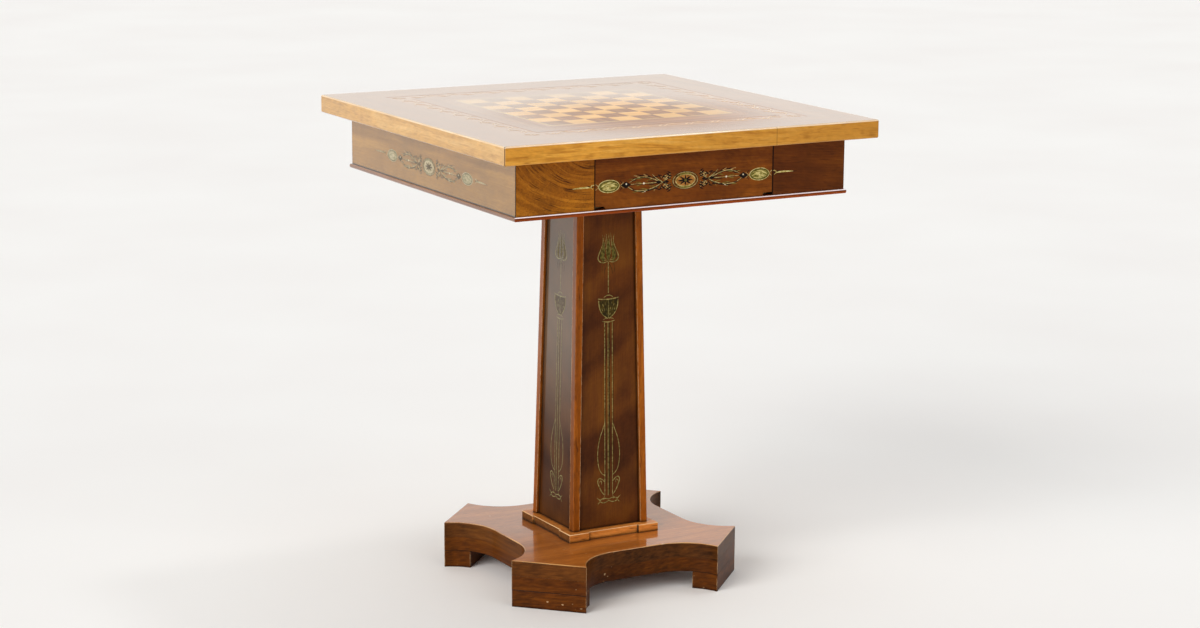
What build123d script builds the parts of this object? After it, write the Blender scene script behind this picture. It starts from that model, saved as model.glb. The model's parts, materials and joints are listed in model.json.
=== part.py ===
from build123d import *

import math
import os

# Chess table: an inlaid square top over a shallow box with one drawer, carried by a
# tapered, panelled column on a low base with in-curved sides and four block feet.
#
# Millimetres. The origin is on the floor under the centre, +Z is up, +X is to the
# right along the drawer front, and the drawer opens towards -Y.

# ---------------------------------------------------------------- driving dimensions
TABLE_HEIGHT = 750.0

# Top: a core board inside solid lippings, veneered over both.
TOP_WIDTH = 640.0
TOP_THICKNESS = 28.0
TOP_ROUND = 2.5
TOP_CORNER = 2.0  # flat taken off each upright corner
LIPPING_WIDTH = 20.0
VENEER = 1.0
VENEER_MARGIN = 4.5  # lipping left bare round the veneer

# Chess board and the border round it.
SQUARES = 8
SQUARE = 39.0
BOARD_LINE = 3.0  # stringing round the board
BORDER_INSET = 94.0  # from the edge of the top to the middle of the border
BORDER_WIDTH = 34.0
BORDER_LINE = 1.6  # stringing on either side of the border

# Drawer box under the top.
TOP_OVERHANG = 37.0  # of the top past the box
BOX_HEIGHT = 81.0
RAIL = 18.0  # thickness of the side, back and front boards
BOX_ARRIS = 0.8
BEAD_HEIGHT = 6.6
BEAD_PROUD = 2.9
BEAD_ROUND = 2.6
BEAD_LEDGE = 12.0  # the beads reach in past the rails and carry the bottom
BOX_BOTTOM = 12.0
BOTTOM_FIT = 0.4
CORNER_BLOCK = 35.0

# Drawer. Its front is as high as the box, and its sides are dovetailed.
DRAWER_WIDTH = 305.8
DRAWER_BACK_ROOM = 68.0  # behind the drawer, with its stops in it
DRAWER_GAP = 0.8  # on each side, at the front and along the guides
DRAWER_RUNNING_FIT = 0.3  # under the drawer and in front of its stops
DRAWER_FRONT_GAP = 0.6  # over and under the front
DRAWER_SIDE = 10.0
DRAWER_SIDE_HEIGHT = 48.0
DRAWER_BACK = 10.0
DRAWER_LAP = 4.0  # wood of the front that hides the tails
DRAWER_BOTTOM = 4.0
DRAWER_BOTTOM_RISE = 8.0
GROOVE_DEPTH = 5.0
FRONT_TAILS = 3
BACK_TAILS = 2
PIN_WIDTH = 5.0
TAIL_SLOPE = 1 / 8
GRIP_LENGTH = 18.0  # notches under the lower corners of the front
GRIP_SLANT = 3.0
GRIP_HEIGHT = 4.5
GUIDE_WIDTH = 20.0
KICKER_WIDTH = 50.0
KICKER_GAP = 1.0
STOP_DEPTH = 20.0
STOP_WIDTH = 20.0
STOP_HEIGHT = 26.0

# Inlay on the four faces of the box.
INLAY_DEPTH = 0.8
INLAY_RISE = 34.0  # height of its centre line over the bead
MEDALLION_LENGTH = 54.0
MEDALLION_HEIGHT = 27.0
SIDE_MEDALLION_LENGTH = 38.0
SIDE_MEDALLION_HEIGHT = 20.0
SIDE_MEDALLION_MARGIN = 3.9  # from the small oval to the end of the drawer front
SPEAR_CLEAR = 6.0  # from the drawer opening to the blunt end of the spear
SPEAR_LENGTH = 34.0
SPEAR_WIDTH = 4.0

# Column: four tapered boards mitred into a box, with a rebated stile on each corner.
COLUMN_FOOT_WIDTH = 135.3
COLUMN_HEAD_WIDTH = 113.7
STILE_WIDTH = 12.0
STILE_PROUD = 5.0
STILE_ROUND = 1.5
PANEL_THICKNESS = 9.0
HEAD_BLOCK = 60.0
FOOT_BLOCK = 60.0

# Plinth under the column, with its sides set back between corner blocks.
PLINTH_WIDTH = 160.8
PLINTH_HEIGHT = 12.8
PLINTH_CORNER = 36.0
PLINTH_SET_BACK = 3.0
PLINTH_BEVEL = 0.8

# Base platform in two layers on four feet.
BASE_WIDTH = 405.0
BASE_WAIST = 301.0  # across the middle of two opposite sides
CANT_LENGTH = 120.0  # length of each cut-off corner
BAY_RADIUS = 80.0
UPPER_LAYER = 24.3
LOWER_LAYER = 22.7
FOOT_HEIGHT = 27.5
FOOT_DEPTH = 42.2  # measured in from the cut-off corner
PLATFORM_BEVEL = 1.0

# Coach screws on the axis of the column: one draws it onto the base, and one, from
# inside the box, holds the box on its head.
SHANK_DIAMETER = 10.0
SHANK_FIT = 0.2
HEXAGON_HEIGHT = 6.4
HEXAGON_RADIUS = 9.2  # to a corner
BASE_SCREW_LENGTH = 100.0
HEAD_SCREW_LENGTH = 60.0

# Countersunk wood screws, two up through each kicker into the top.
WOOD_SCREW_DIAMETER = 4.5
WOOD_SCREW_HEAD = 9.0  # across the head
WOOD_SCREW_FIT = 0.2
KICKER_SCREW_LENGTH = 40.0
KICKER_SCREW_SPACING = 350.0
KICKER_SCREW_INSET = 12.5  # from the free edge of the kicker

# ------------------------------------------------------------------- derived levels
top_low = TABLE_HEIGHT - TOP_THICKNESS
veneer_low = TABLE_HEIGHT - VENEER
box_low = top_low - BOX_HEIGHT
bead_low = box_low - BEAD_HEIGHT
floor_of_box = box_low + BOX_BOTTOM
lower_layer_top = FOOT_HEIGHT + LOWER_LAYER
platform_top = lower_layer_top + UPPER_LAYER
column_low = platform_top + PLINTH_HEIGHT

box_half = TOP_WIDTH / 2 - TOP_OVERHANG
box_inside = box_half - RAIL
drawer_rear = box_inside - DRAWER_BACK_ROOM
drawer_half = DRAWER_WIDTH / 2
opening_half = drawer_half + DRAWER_GAP
kicker_edge = opening_half - KICKER_WIDTH / 2
board_half = SQUARES * SQUARE / 2
border_middle = TOP_WIDTH / 2 - BORDER_INSET
border_inner = border_middle - BORDER_WIDTH / 2
border_outer = border_middle + BORDER_WIDTH / 2
column_inset = STILE_PROUD + PANEL_THICKNESS
cant_reach = (BASE_WIDTH - CANT_LENGTH / math.sqrt(2)) / math.sqrt(2)

# Where the coach screws start: up from under the platform, and down from inside the box.
from_base = Pos(Z=FOOT_HEIGHT)
from_box = Pos(Z=floor_of_box) * Rot(X=180)

SIDES = {"front": 0, "right": 90, "back": 180, "left": 270}
CORNERS = {"front_right": 0, "back_right": 90, "back_left": 180, "front_left": 270}
HANDS = {"left": -1, "right": 1}


# ------------------------------------------------------------------------- helpers
def block(x, y, z):
    """A squared piece between two corners, each direction given as (low, high)."""
    size = [high - low for low, high in (x, y, z)]
    middle = [(high + low) / 2 for low, high in (x, y, z)]
    return Pos(*middle) * Box(*size)


def slab(half, low, high):
    """A square board centred on the column."""
    return block((-half, half), (-half, half), (low, high))


def mitred(frame, turn):
    """The side of a square frame that two mitre cuts leave, front at turn 0."""
    reach = TOP_WIDTH
    wedge = extrude(Polygon((0, 0), (-reach, -reach), (reach, -reach)), TABLE_HEIGHT)
    return frame & (Rot(Z=turn) * wedge)


def frame_of(outer, inner, low, high):
    """A square frame between two half widths."""
    return slab(outer, low, high) - slab(inner, low, high)


def turned(pieces, turn):
    """The same pieces on another side of the table."""
    return [Rot(Z=turn) * piece for piece in pieces]


def group(pieces):
    """Separate solids that share one node."""
    return Compound([solid for piece in pieces for solid in piece.solids()])


def coach_screw(length):
    """A hexagonal head under a shank that stands up from the origin."""
    head = Pos(Z=-HEXAGON_HEIGHT) * extrude(RegularPolygon(HEXAGON_RADIUS, 6), HEXAGON_HEIGHT)
    return head + extrude(Circle(SHANK_DIAMETER / 2), length)


def screw_hole(length):
    """The straight hole for a coach screw's shank."""
    return extrude(Circle(SHANK_DIAMETER / 2 + SHANK_FIT), length + SHANK_FIT)


def wood_screw(length, fit=0.0):
    """A countersunk screw, or with a fit its hole, pointing up from its head."""
    shank = WOOD_SCREW_DIAMETER / 2 + fit
    head = WOOD_SCREW_HEAD / 2 + fit
    outline = Polygon((0, 0), (head, 0), (shank, head - shank), (shank, length + fit), (0, length + fit))
    return revolve(Plane.XZ * outline, Axis.Z)


# ----------------------------------------------------------------------------- top
def top_pieces():
    """Core, lippings, veneers, squares and stringing of the top."""
    board = slab(TOP_WIDTH / 2, top_low, TABLE_HEIGHT)
    board = chamfer(board.edges().filter_by(Axis.Z), TOP_CORNER)
    board = fillet(board.edges().filter_by(Axis.Z, reverse=True), TOP_ROUND)
    veneer_half = TOP_WIDTH / 2 - VENEER_MARGIN
    core_half = TOP_WIDTH / 2 - LIPPING_WIDTH
    lipped = board - slab(veneer_half, veneer_low, TABLE_HEIGHT) - slab(core_half, top_low, veneer_low)
    core = slab(core_half, top_low, veneer_low)
    pieces = {"top_core": core - kicker_screws(WOOD_SCREW_FIT)}
    for side, turn in SIDES.items():
        pieces[f"lipping_{side}"] = mitred(lipped, turn)

    def ring(outer, inner):
        return frame_of(outer, inner, veneer_low, TABLE_HEIGHT)

    line_half = board_half + BOARD_LINE
    inner_line = border_inner + BORDER_LINE
    outer_line = border_outer - BORDER_LINE
    pieces["top_veneer"] = group([ring(veneer_half, border_outer), ring(border_inner, line_half)])
    pieces["border_band"] = ring(outer_line, inner_line)
    lines = [ring(border_outer, outer_line), ring(inner_line, border_inner)]
    turns = SIDES.values()
    pieces["border_stringing"] = group(mitred(line, turn) for line in lines for turn in turns)
    board_line = ring(line_half, board_half)
    pieces["board_stringing"] = group(mitred(board_line, turn) for turn in turns)
    pieces["light_squares"] = squares(1)
    pieces["dark_squares"] = squares(0)
    return pieces


def squares(parity):
    """The squares of one colour. A light one stands at each player's right hand."""
    laid = []
    for column in range(SQUARES):
        for row in range(SQUARES):
            if (column + row) % 2 == parity:
                x = column * SQUARE - board_half
                y = row * SQUARE - board_half
                laid.append(block((x, x + SQUARE), (y, y + SQUARE), (veneer_low, TABLE_HEIGHT)))
    return group(laid)


# ------------------------------------------------------------------- inlaid figures
def on_face(sketch, across):
    """Sinks a flat figure into the front face of the box, its middle at across."""
    level = box_low + INLAY_RISE
    face = Plane(origin=(across, -box_half, level), x_dir=(1, 0, 0), z_dir=(0, -1, 0))
    return extrude(face * sketch, -INLAY_DEPTH)


def oval(length, height):
    """An oval drawn with four arcs: a tight one at each end and a flat one on each side."""
    long, short = length / 2, height / 2
    across = math.hypot(long, short)
    tight = across * (across - long + short) / (2 * long)
    flat = across * (across + long - short) / (2 * short)
    turn = math.degrees(math.atan2(flat - short, long - tight))
    end = CenterArc((long - tight, 0), tight, -turn, 2 * turn)
    side = CenterArc((0, short - flat), flat, turn, 180 - 2 * turn)
    return make_face([end, side, Rot(Z=180) * end, Rot(Z=180) * side])


def medallions():
    """The large oval plate in the middle and a small one on either side."""
    small = oval(SIDE_MEDALLION_LENGTH, SIDE_MEDALLION_HEIGHT)
    reach = drawer_half - SIDE_MEDALLION_MARGIN - SIDE_MEDALLION_LENGTH / 2
    plates = [on_face(small, hand * reach) for hand in HANDS.values()]
    return plates + [on_face(oval(MEDALLION_LENGTH, MEDALLION_HEIGHT), 0)]


def spears():
    """A slender spear at each end of the figure."""
    widest = SPEAR_LENGTH / 4
    ends = []
    for hand in HANDS.values():
        outline = [(0, 0), (widest, -SPEAR_WIDTH / 2), (SPEAR_LENGTH, 0), (widest, SPEAR_WIDTH / 2)]
        spear = make_face(Polyline(*[(hand * x, z) for x, z in outline], close=True))
        ends.append(on_face(spear, hand * (opening_half + SPEAR_CLEAR)))
    return ends


# ------------------------------------------------------------------------ drawer box
def wall_pieces():
    """Side and back rails, the fixed parts of the front, and the inlay in all of them."""
    walls = frame_of(box_half, box_inside, box_low, top_low)
    upright = walls.edges().filter_by(Axis.Z)
    walls = chamfer(upright.sort_by_distance((0, 0, box_low))[-4:], BOX_ARRIS)
    pieces = {}
    for side, turn in SIDES.items():
        rail = mitred(walls, turn)
        if side == "front":
            for name, hand in HANDS.items():
                ends = sorted((hand * opening_half, hand * box_half))
                fixed = block(ends, (-box_half, -box_inside), (box_low, top_low))
                pieces[f"front_panel_{name}"] = (rail & fixed) - spears()
        else:
            pieces[f"rail_{side}"] = rail - turned(medallions() + spears(), turn)
    inlay = spears()
    for turn in list(SIDES.values())[1:]:
        inlay += turned(medallions() + spears(), turn)
    pieces["box_inlay"] = group(inlay)
    return pieces


def bead_pieces():
    """Rounded mouldings under the rails, with a ledge inside that carries the bottom."""
    strips = slab(box_half + BEAD_PROUD, bead_low, box_low)
    strips = fillet(strips.edges().filter_by(Axis.Z, reverse=True), BEAD_ROUND)
    strips -= slab(box_inside - BEAD_LEDGE, bead_low, box_low)
    return {f"bead_{side}": mitred(strips, turn) for side, turn in SIDES.items()}


def glue_blocks():
    """Three-cornered blocks that stiffen the corners of the box."""
    legs = Polygon(
        (box_inside, -box_inside),
        (box_inside, -box_inside + CORNER_BLOCK),
        (box_inside - CORNER_BLOCK, -box_inside),
    )
    corner = Pos(Z=floor_of_box) * extrude(legs, top_low - floor_of_box)
    return {f"glue_block_{name}": Rot(Z=turn) * corner for name, turn in CORNERS.items()}


def box_pieces():
    """The box under the top, with what guides the drawer in it."""
    bottom = slab(box_inside - BOTTOM_FIT, box_low, floor_of_box)
    pieces = {"box_bottom": bottom - from_box * screw_hole(HEAD_SCREW_LENGTH)}
    return pieces | wall_pieces() | bead_pieces() | glue_blocks() | runner_pieces()


def runner_pieces():
    """What the drawer runs between: guides, kickers over its sides, and stops."""
    back_of_front = -box_inside + BOTTOM_FIT
    stop_front = drawer_rear + DRAWER_RUNNING_FIT
    pieces = {}
    stops = []
    for name, hand in HANDS.items():
        guide = sorted((hand * opening_half, hand * (opening_half + GUIDE_WIDTH)))
        guide_height = (floor_of_box, kicker_low)
        pieces[f"drawer_guide_{name}"] = block(guide, (-box_inside, box_inside), guide_height)
        kicker = sorted((hand * kicker_edge, hand * (kicker_edge + KICKER_WIDTH)))
        bar = block(kicker, (back_of_front, box_inside), (kicker_low, top_low))
        pieces[f"kicker_{name}"] = bar - kicker_screws(WOOD_SCREW_FIT)
        stop = sorted((hand * opening_half, hand * (opening_half - STOP_WIDTH)))
        stop_height = (floor_of_box, floor_of_box + STOP_HEIGHT)
        stops.append(block(stop, (stop_front, stop_front + STOP_DEPTH), stop_height))
    pieces["drawer_stops"] = group(stops)
    return pieces


# ---------------------------------------------------------------------------- drawer
drawer_low = floor_of_box + DRAWER_RUNNING_FIT
drawer_side_high = drawer_low + DRAWER_SIDE_HEIGHT
kicker_low = drawer_side_high + KICKER_GAP
drawer_bottom_low = drawer_low + DRAWER_BOTTOM_RISE
drawer_bottom_high = drawer_bottom_low + DRAWER_BOTTOM


def pin_spaces(low, high, tails, end, root):
    """The slots between dovetails, from the end of a drawer side to their root."""
    pitch = (high - low) / tails
    widened = PIN_WIDTH / 2 + abs(root - end) * TAIL_SLOPE
    slots = []
    for number in range(tails + 1):
        level = low + number * pitch
        below = [max(low, level - half) for half in (PIN_WIDTH / 2, widened)]
        above = [min(high, level + half) for half in (PIN_WIDTH / 2, widened)]
        corners = [(end, below[0]), (root, below[1]), (root, above[1]), (end, above[0])]
        slots.append(make_face(Polyline(*corners, close=True)))
    return slots


def drawer_side(hand, bottom):
    """A side with lapped tails at its front, through tails at its back and a groove."""
    front_end = -box_half + DRAWER_LAP
    profile = make_face(
        Polyline(
            (front_end, drawer_low),
            (drawer_rear, drawer_low),
            (drawer_rear, drawer_side_high),
            (front_end, drawer_side_high),
            close=True,
        )
    )
    profile -= pin_spaces(drawer_low, drawer_side_high, FRONT_TAILS, front_end, -box_inside)
    rear_root = drawer_rear - DRAWER_BACK
    profile -= pin_spaces(drawer_bottom_high, drawer_side_high, BACK_TAILS, drawer_rear, rear_root)
    inner = hand * (drawer_half - DRAWER_SIDE)
    board = extrude(Plane.YZ * profile, DRAWER_SIDE, dir=(hand, 0, 0))
    return Pos(X=inner) * board - bottom


def drawer_pieces():
    """Front, sides, back and bottom of the drawer."""
    sheet_half = drawer_half - DRAWER_SIDE + GROOVE_DEPTH
    sheet_depth = (-box_inside - GROOVE_DEPTH, drawer_rear)
    sheet_height = (drawer_bottom_low, drawer_bottom_high)
    bottom = block((-sheet_half, sheet_half), sheet_depth, sheet_height)
    sides = {name: drawer_side(hand, bottom) for name, hand in HANDS.items()}
    width = (-drawer_half, drawer_half)
    low = box_low + DRAWER_FRONT_GAP
    front = block(width, (-box_half, -box_inside), (low, top_low - DRAWER_FRONT_GAP))
    for hand in HANDS.values():
        notch = [
            (drawer_half, low),
            (drawer_half, low + GRIP_HEIGHT),
            (drawer_half - GRIP_LENGTH + GRIP_SLANT, low + GRIP_HEIGHT),
            (drawer_half - GRIP_LENGTH, low),
        ]
        outline = make_face(Polyline(*[(hand * x, z) for x, z in notch], close=True))
        front -= extrude(Plane.XZ * outline, box_half, both=True)
    front = front - list(sides.values()) - bottom - medallions()
    back = block(width, (drawer_rear - DRAWER_BACK, drawer_rear), (drawer_bottom_high, drawer_side_high))
    pieces = {f"drawer_side_{name}": side for name, side in sides.items()}
    pieces["drawer_front"] = front
    pieces["drawer_back"] = back - list(sides.values())
    pieces["drawer_bottom"] = bottom
    pieces["drawer_inlay"] = group(medallions())
    return pieces


# ---------------------------------------------------------------------------- column
def column_half(level):
    """Half the width over the stiles at a height: it narrows evenly upwards."""
    share = (level - column_low) / (box_low - column_low)
    return (COLUMN_FOOT_WIDTH + share * (COLUMN_HEAD_WIDTH - COLUMN_FOOT_WIDTH)) / 2


def tapered_wedge(inset, low, high):
    """What lies between the two side faces of the column, inset from the stiles."""
    near = column_half(low) - inset
    far = column_half(high) - inset
    outline = make_face(Polyline((-near, low), (near, low), (far, high), (-far, high), close=True))
    return extrude(Plane.XZ * outline, BASE_WIDTH, both=True)


def tapered(inset, low, high):
    """A square shaft that follows the taper, inset from the face of the stiles."""
    wedge = tapered_wedge(inset, low, high)
    return wedge & (Rot(Z=90) * wedge)


def stile():
    """A corner strip, rounded outside and rebated to fit over the panels."""
    gap = tapered_wedge(STILE_WIDTH, column_low, box_low)
    corner_of_room = block((0, BASE_WIDTH), (-BASE_WIDTH, 0), (column_low, box_low))
    strip = (tapered(0, column_low, box_low) & corner_of_room) - gap - Rot(Z=90) * gap
    corner = max(strip.edges(), key=lambda edge: edge.length + edge.center().X - edge.center().Y)
    return fillet(corner, STILE_ROUND) - tapered(STILE_PROUD, column_low, box_low)


def column_pieces():
    """Stiles, panels, and the blocks inside that the screws hold."""
    shell = tapered(STILE_PROUD, column_low, box_low) - tapered(column_inset, column_low, box_low)
    pieces = {f"column_panel_{side}": mitred(shell, turn) for side, turn in SIDES.items()}
    strip = stile()
    for name, turn in CORNERS.items():
        pieces[f"column_stile_{name}"] = Rot(Z=turn) * strip
    head = tapered(column_inset, box_low - HEAD_BLOCK, box_low)
    foot = tapered(column_inset, column_low, column_low + FOOT_BLOCK)
    pieces["column_head_block"] = head - from_box * screw_hole(HEAD_SCREW_LENGTH)
    pieces["column_foot_block"] = foot - from_base * screw_hole(BASE_SCREW_LENGTH)
    return pieces


# ------------------------------------------------------------------------------ base
def plinth():
    """A square board whose sides are set back between its corners."""
    half = PLINTH_WIDTH / 2
    set_back = half - PLINTH_CORNER
    board = slab(half, platform_top, column_low)
    for turn in SIDES.values():
        strip = block((-set_back, set_back), (-half, -half + PLINTH_SET_BACK), (platform_top, column_low))
        board -= Rot(Z=turn) * strip
    upper = board.edges().group_by(Axis.Z)[-1]
    return chamfer(upper, PLINTH_BEVEL)


def platform_plan():
    """The base seen from above: four straight waists that flare to canted corners."""
    waist = BASE_WAIST / 2
    far = BASE_WIDTH / 2
    near = far - CANT_LENGTH / math.sqrt(2)
    drop = waist + BAY_RADIUS - far
    run = math.sqrt(BAY_RADIUS**2 - drop**2)
    straight = near - run
    sweep = 90 - math.degrees(math.atan2(drop, run))
    bay = CenterArc((straight, -waist - BAY_RADIUS), BAY_RADIUS, 90, -sweep)
    edges = []
    for turn in SIDES.values():
        side = [bay, bay.mirror(Plane.YZ), Line((-straight, -waist), (straight, -waist))]
        side.append(Line((near, -far), (far, -near)))
        edges += [Rot(Z=turn) * edge for edge in side]
    return make_face(edges)


def base_pieces():
    """Plinth, two platform layers and the feet under the canted corners."""
    plan = platform_plan()
    upper = Pos(Z=lower_layer_top) * extrude(plan, UPPER_LAYER)
    lower = Pos(Z=FOOT_HEIGHT) * extrude(plan, LOWER_LAYER)
    legs = extrude(plan, FOOT_HEIGHT)
    upper = chamfer(upper.edges().group_by(Axis.Z)[-1], PLATFORM_BEVEL)
    hole = from_base * screw_hole(BASE_SCREW_LENGTH)
    pieces = {"plinth": plinth() - hole, "platform_upper": upper - hole, "platform_lower": lower - hole}
    foot_depth = (cant_reach - FOOT_DEPTH, BASE_WIDTH)
    cut = block(foot_depth, (-BASE_WIDTH, BASE_WIDTH), (0, FOOT_HEIGHT))
    for name, turn in CORNERS.items():
        pieces[f"foot_{name}"] = legs & (Rot(Z=turn - 45) * cut)
    return pieces


# ---------------------------------------------------------------------------- screws
def kicker_screws(fit=0.0):
    """Screws up through the kickers into the core of the top, or their holes."""
    screw = wood_screw(KICKER_SCREW_LENGTH, fit)
    across = kicker_edge + KICKER_SCREW_INSET
    along = KICKER_SCREW_SPACING / 2
    return [Pos(x, y, kicker_low) * screw for x in (-across, across) for y in (-along, along)]


def screws():
    """Each set of like screws shares one node."""
    return {
        "kicker_screws": group(kicker_screws()),
        "base_screw": from_base * coach_screw(BASE_SCREW_LENGTH),
        "head_screw": from_box * coach_screw(HEAD_SCREW_LENGTH),
    }


# ---------------------------------------------------------------------------- output
def table():
    """Every piece of the table by name."""
    woodwork = top_pieces() | box_pieces() | drawer_pieces() | column_pieces() | base_pieces()
    return woodwork | screws()


os.makedirs("parts", exist_ok=True)
for name, shape in table().items():
    export_step(shape, f"parts/{name}.step")
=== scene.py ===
# %% [markdown]
# # An inlaid chess table
# The woodwork is already built as a CAD frame: a top with lippings, a box with a dovetailed
# drawer, a tapered column and a low base. Blender adds what a cabinet maker does last: eased
# arrises, wood grain, polish, and the fine inlaid lines. Loading the frame first means that
# every piece made here can take its place from a CAD piece, with no fitting by eye.

import json
import math
from types import SimpleNamespace

import bmesh
import bpy
from mathutils import Matrix, Vector

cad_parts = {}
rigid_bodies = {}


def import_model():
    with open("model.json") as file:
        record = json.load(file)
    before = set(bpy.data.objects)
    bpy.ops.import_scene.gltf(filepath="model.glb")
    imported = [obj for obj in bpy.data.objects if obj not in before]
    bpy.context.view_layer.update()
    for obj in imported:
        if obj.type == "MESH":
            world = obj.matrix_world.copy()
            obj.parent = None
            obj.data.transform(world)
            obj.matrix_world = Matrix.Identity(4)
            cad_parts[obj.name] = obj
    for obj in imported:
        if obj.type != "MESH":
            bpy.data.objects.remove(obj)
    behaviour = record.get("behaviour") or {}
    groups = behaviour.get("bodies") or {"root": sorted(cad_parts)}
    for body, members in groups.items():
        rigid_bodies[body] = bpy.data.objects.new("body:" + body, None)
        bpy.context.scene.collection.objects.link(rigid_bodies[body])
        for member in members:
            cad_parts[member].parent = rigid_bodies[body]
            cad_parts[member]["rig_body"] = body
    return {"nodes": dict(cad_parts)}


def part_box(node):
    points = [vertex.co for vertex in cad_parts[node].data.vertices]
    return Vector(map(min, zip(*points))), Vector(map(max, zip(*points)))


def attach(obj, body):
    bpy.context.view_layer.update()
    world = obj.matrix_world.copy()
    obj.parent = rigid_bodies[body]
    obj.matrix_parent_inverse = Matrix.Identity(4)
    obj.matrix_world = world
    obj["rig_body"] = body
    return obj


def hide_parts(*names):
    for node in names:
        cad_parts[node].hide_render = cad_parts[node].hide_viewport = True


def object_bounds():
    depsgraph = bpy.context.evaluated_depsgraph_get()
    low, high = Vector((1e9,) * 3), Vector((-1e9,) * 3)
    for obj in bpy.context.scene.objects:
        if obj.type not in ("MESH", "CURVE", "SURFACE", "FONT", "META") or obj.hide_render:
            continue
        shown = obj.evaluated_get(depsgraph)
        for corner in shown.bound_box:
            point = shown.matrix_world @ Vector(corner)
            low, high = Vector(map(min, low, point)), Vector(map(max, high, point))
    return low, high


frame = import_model()
cad_low, cad_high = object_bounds()
nodes = frame["nodes"]
MM = 0.001
print("CAD box in mm:", [round(side / MM, 1) for side in cad_high - cad_low])

# %% [markdown]
# # Camera
# The table is seen from its front left corner, from a little above the top, with a long
# lens. A camera that was solved from the edges of the table gives its place and its three
# angles. Its axes are worked out from those angles, so that nothing has to point at a target.
# The Standard view shows a colour as it was written, where others would soften it.

# %% Camera
IMAGE_WIDTH = 1200  # pixels
FOCAL_LENGTH = 2746.96  # in the same pixels
CAMERA_PLACE = Vector((-2.07646, -3.71579, 1.31772))
HEADING = math.radians(-29.39)
PITCH = math.radians(-11.91)
ROLL = math.radians(0.43)

ahead = Vector((
    -math.sin(HEADING) * math.cos(PITCH),
    math.cos(HEADING) * math.cos(PITCH),
    math.sin(PITCH),
))
level = Vector((math.cos(HEADING), math.sin(HEADING), 0))
upward = level.cross(ahead)
right = math.cos(ROLL) * level + math.sin(ROLL) * upward
top = -math.sin(ROLL) * level + math.cos(ROLL) * upward

lens = bpy.data.cameras.new("camera")
lens.sensor_fit = "HORIZONTAL"
lens.sensor_width = 36
lens.lens = FOCAL_LENGTH * lens.sensor_width / IMAGE_WIDTH
lens.clip_start, lens.clip_end = 0.1, 100
camera = bpy.data.objects.new("camera", lens)
bpy.context.collection.objects.link(camera)
axes = Matrix((right, top, -ahead)).transposed().to_4x4()
camera.matrix_world = Matrix.Translation(CAMERA_PLACE) @ axes
bpy.context.scene.camera = camera
bpy.context.scene.view_settings.view_transform = "Standard"
print("lens in mm:", round(lens.lens, 2))

# %% [markdown]
# # Light
# Polished wood is lit best by large, soft sources: they put long quiet reflections in the
# lacquer and hardly any hard shadow under the top. Three very wide suns do this, one from the
# left, one from the front and one from above, and a fourth, narrow and weak, adds a glint. A
# sun lights a floor evenly to its edge, which a panel lamp doesn't. Strengths are written as
# the share of its own colour at which a white card facing the lamp would show.
#
# Rays from the camera and rays that bounce off a gloss see a white world, and all other rays
# see a dimmer one, so that the background is white and the wood isn't washed out. Two helpers
# serve every material from here on: one adds a node, and one turns an sRGB colour to the
# linear one that a shader works with.

# %% Lamps and world
LAMPS = {  # where it shines from, how wide it is in degrees, and its share
    "lamp_left": ((-3.4, -1.2, 1.9), 45, 0.86),
    "lamp_front": ((0.9, -3.4, 1.7), 50, 0.14),
    "lamp_over": ((0.5, 0.7, 3.4), 50, 0.15),
    "lamp_glint": ((1.6, 0.0, 3.3), 9, 0.07),
}
TABLE_MIDDLE = Vector((0, 0, 0.4))
for name, (place, spread, share) in LAMPS.items():
    lamp = bpy.data.lights.new(name, "SUN")
    lamp.angle = math.radians(spread)
    lamp.energy = share * math.pi
    holder = bpy.data.objects.new(name, lamp)
    holder.location = place
    aim = TABLE_MIDDLE - holder.location
    holder.rotation_euler = aim.to_track_quat("-Z", "Y").to_euler()
    bpy.context.collection.objects.link(holder)


def add(tree, kind, settings=(), links=()):
    """Adds a node, sets its options and sockets, and links other nodes into it."""
    node = tree.nodes.new(kind)
    for key, value in dict(settings).items():
        if key == "stops":
            stops = node.color_ramp.elements
            for number, (place, colour) in enumerate(value):
                stop = stops[number] if number < 2 else stops.new(place)
                stop.position, stop.color = place, linear(colour)
        elif isinstance(key, str) and hasattr(node, key):
            setattr(node, key, value)
        else:
            node.inputs[key].default_value = value
    for key, source in dict(links).items():
        tree.links.new(source, node.inputs[key])
    return node


def linear(colour):
    """The linear red, green, blue and alpha of an sRGB hex colour."""
    shares = [int(colour[start:start + 2], 16) / 255 for start in (1, 3, 5)]
    return (*(s / 12.92 if s <= 0.04045 else ((s + 0.055) / 1.055) ** 2.4 for s in shares), 1)


world = bpy.data.worlds.new("studio")
world.use_nodes = True
bpy.context.scene.world = world
tree = world.node_tree
tree.nodes.clear()
ray = add(tree, "ShaderNodeLightPath")
seen = add(tree, "ShaderNodeMath", {"operation": "MAXIMUM"},
           {0: ray.outputs["Is Camera Ray"], 1: ray.outputs["Is Glossy Ray"]})
seen = add(tree, "ShaderNodeMath", {"operation": "MAXIMUM"},
           {0: seen.outputs[0], 1: ray.outputs["Is Transmission Ray"]})
dim = add(tree, "ShaderNodeBackground", {"Color": linear("#F4F6FA"), "Strength": 0.42})
white = add(tree, "ShaderNodeBackground", {"Color": linear("#FFFBF4"), "Strength": 1.0})
both = add(tree, "ShaderNodeMixShader", (),
           {0: seen.outputs[0], 1: dim.outputs[0], 2: white.outputs[0]})
add(tree, "ShaderNodeOutputWorld", (), {"Surface": both.outputs[0]})
print(len(LAMPS), "lamps and a white world")

# %% [markdown]
# # Floor
# A plain pale floor shows the shadow that the table stands in. It is one large disc, so that
# it fills the view behind the table as well, and its faint unevenness keeps it from looking
# like paper.

# %% Floor
FLOOR_RADIUS = 30  # m
CLOUD = 667  # mm from one faint cloud in the paint to the next

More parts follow.
